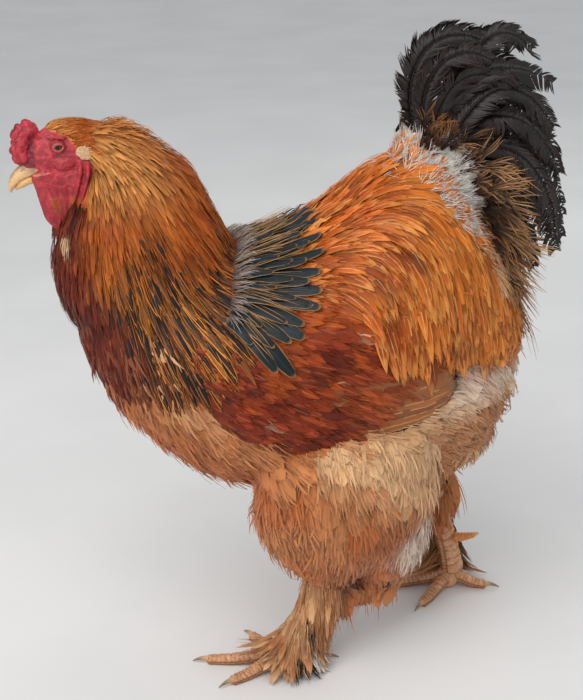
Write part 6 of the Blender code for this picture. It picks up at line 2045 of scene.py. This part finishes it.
class COCK_OT_stage(bpy.types.Operator):
    """Plain pale floor, soft studio light and the camera at the photograph's view"""
    bl_idname = "cock.stage"
    bl_label = "Stage"

    def execute(self, context):
        s = context.scene.cock_stage
        bpy.ops.object.select_all(action="DESELECT")
        bpy.ops.mesh.primitive_plane_add(size=14.0, location=(0.0, 0.0, 0.0))
        floor = bpy.context.object
        floor.name = "studio_floor"
        made, shader, web = new_material("studio_floor", 0.85)
        place = web.add("TexCoord").outputs["Object"]
        cloud = web.add("TexNoise", {"Vector": place, "Scale": 3.0, "Detail": 4.0}).outputs[0]
        colour = web.scaled(tuple(s.floor), web.ramp(cloud, 0.3, 0.7, 0.97, 1.03))
        web.tree.links.new(colour, shader.inputs["Base Color"])
        floor.data.materials.append(made)
        for name, place, size, power in (
            ("key_light", (-1.1, -1.3, 2.4), 2.2, s.key_power),
            ("fill_light", (-1.8, -1.6, 0.9), 1.6, s.fill_power),
            ("rim_light", (1.6, 1.4, 1.9), 1.6, s.fill_power),
        ):
            bpy.ops.object.light_add(type="AREA", location=place)
            light = bpy.context.object
            light.name = name
            light.data.energy = power
            light.data.size = size
            light.rotation_mode = "QUATERNION"
            light.rotation_quaternion = (Vector((0.0, 0.0, 0.36)) - Vector(place)).to_track_quat("-Z", "Y")
        world = bpy.data.worlds.new("studio_sky")
        context.scene.world = world
        world.use_nodes = True
        sky = world.node_tree.nodes["Background"]
        sky.inputs[0].default_value = (0.93, 0.96, 1.0, 1.0)
        sky.inputs[1].default_value = s.world
        back = Vector((math.sin(s.azimuth) * math.cos(s.elevation), -math.cos(s.azimuth) * math.cos(s.elevation),
                       math.sin(s.elevation)))
        bpy.ops.object.camera_add(location=(-0.3153, -1.4261, 0.96))
        camera = bpy.context.object
        camera.name = "photo_camera"
        camera.data.sensor_width = 36.0
        camera.data.lens = s.lens
        camera.rotation_mode = "QUATERNION"
        camera.rotation_quaternion = (-back).to_track_quat("-Z", "Y")
        camera.data.clip_start = 0.01
        context.scene.camera = camera
        context.scene.view_settings.view_transform = "Standard"
        return {"FINISHED"}


class COCK_PT_panel(bpy.types.Panel):
    """Lists the pieces in the order in which they are made"""
    bl_label = "Brahma cock"
    bl_idname = "COCK_PT_panel"
    bl_space_type = "VIEW_3D"
    bl_region_type = "UI"
    bl_category = "Brahma cock"

    def draw(self, context):
        for made in OPERATORS:
            self.layout.operator(made.bl_idname)
        for owner in (context.scene.cock_sizes, context.scene.cock_colours, context.scene.cock_head, context.scene.cock_stage):
            box = self.layout.box()
            for key in owner.__annotations__:
                box.prop(owner, key)


OPERATORS = (
    COCK_OT_skin, COCK_OT_eyes, COCK_OT_beak, COCK_OT_feet, COCK_OT_crown, COCK_OT_hackle, COCK_OT_cape,
    COCK_OT_saddle, COCK_OT_wings, COCK_OT_breast, COCK_OT_thighs, COCK_OT_boots, COCK_OT_tail, COCK_OT_stage,
)
GROUPS = (PlumageSizes, PlumageColours, HeadSizes, StageSizes)


def register():
    for kind in GROUPS + OPERATORS + (COCK_PT_panel,):
        bpy.utils.register_class(kind)
    bpy.types.Scene.cock_sizes = bpy.props.PointerProperty(type=PlumageSizes)
    bpy.types.Scene.cock_colours = bpy.props.PointerProperty(type=PlumageColours)
    bpy.types.Scene.cock_head = bpy.props.PointerProperty(type=HeadSizes)
    bpy.types.Scene.cock_stage = bpy.props.PointerProperty(type=StageSizes)


def unregister():
    for key in ("cock_sizes", "cock_colours", "cock_head", "cock_stage"):
        delattr(bpy.types.Scene, key)
    for kind in reversed(GROUPS + OPERATORS + (COCK_PT_panel,)):
        bpy.utils.unregister_class(kind)


def main():
    register()
    bpy.ops.cock.skin()
    bpy.ops.cock.eyes()
    bpy.ops.cock.beak()
    bpy.ops.cock.feet()
    bpy.ops.cock.crown()
    bpy.ops.cock.hackle()
    bpy.ops.cock.cape()
    bpy.ops.cock.saddle()
    bpy.ops.cock.wings()
    bpy.ops.cock.breast()
    bpy.ops.cock.thighs()
    bpy.ops.cock.boots()
    bpy.ops.cock.tail()
    bpy.ops.cock.stage()


if __name__ == "__main__":
    main()
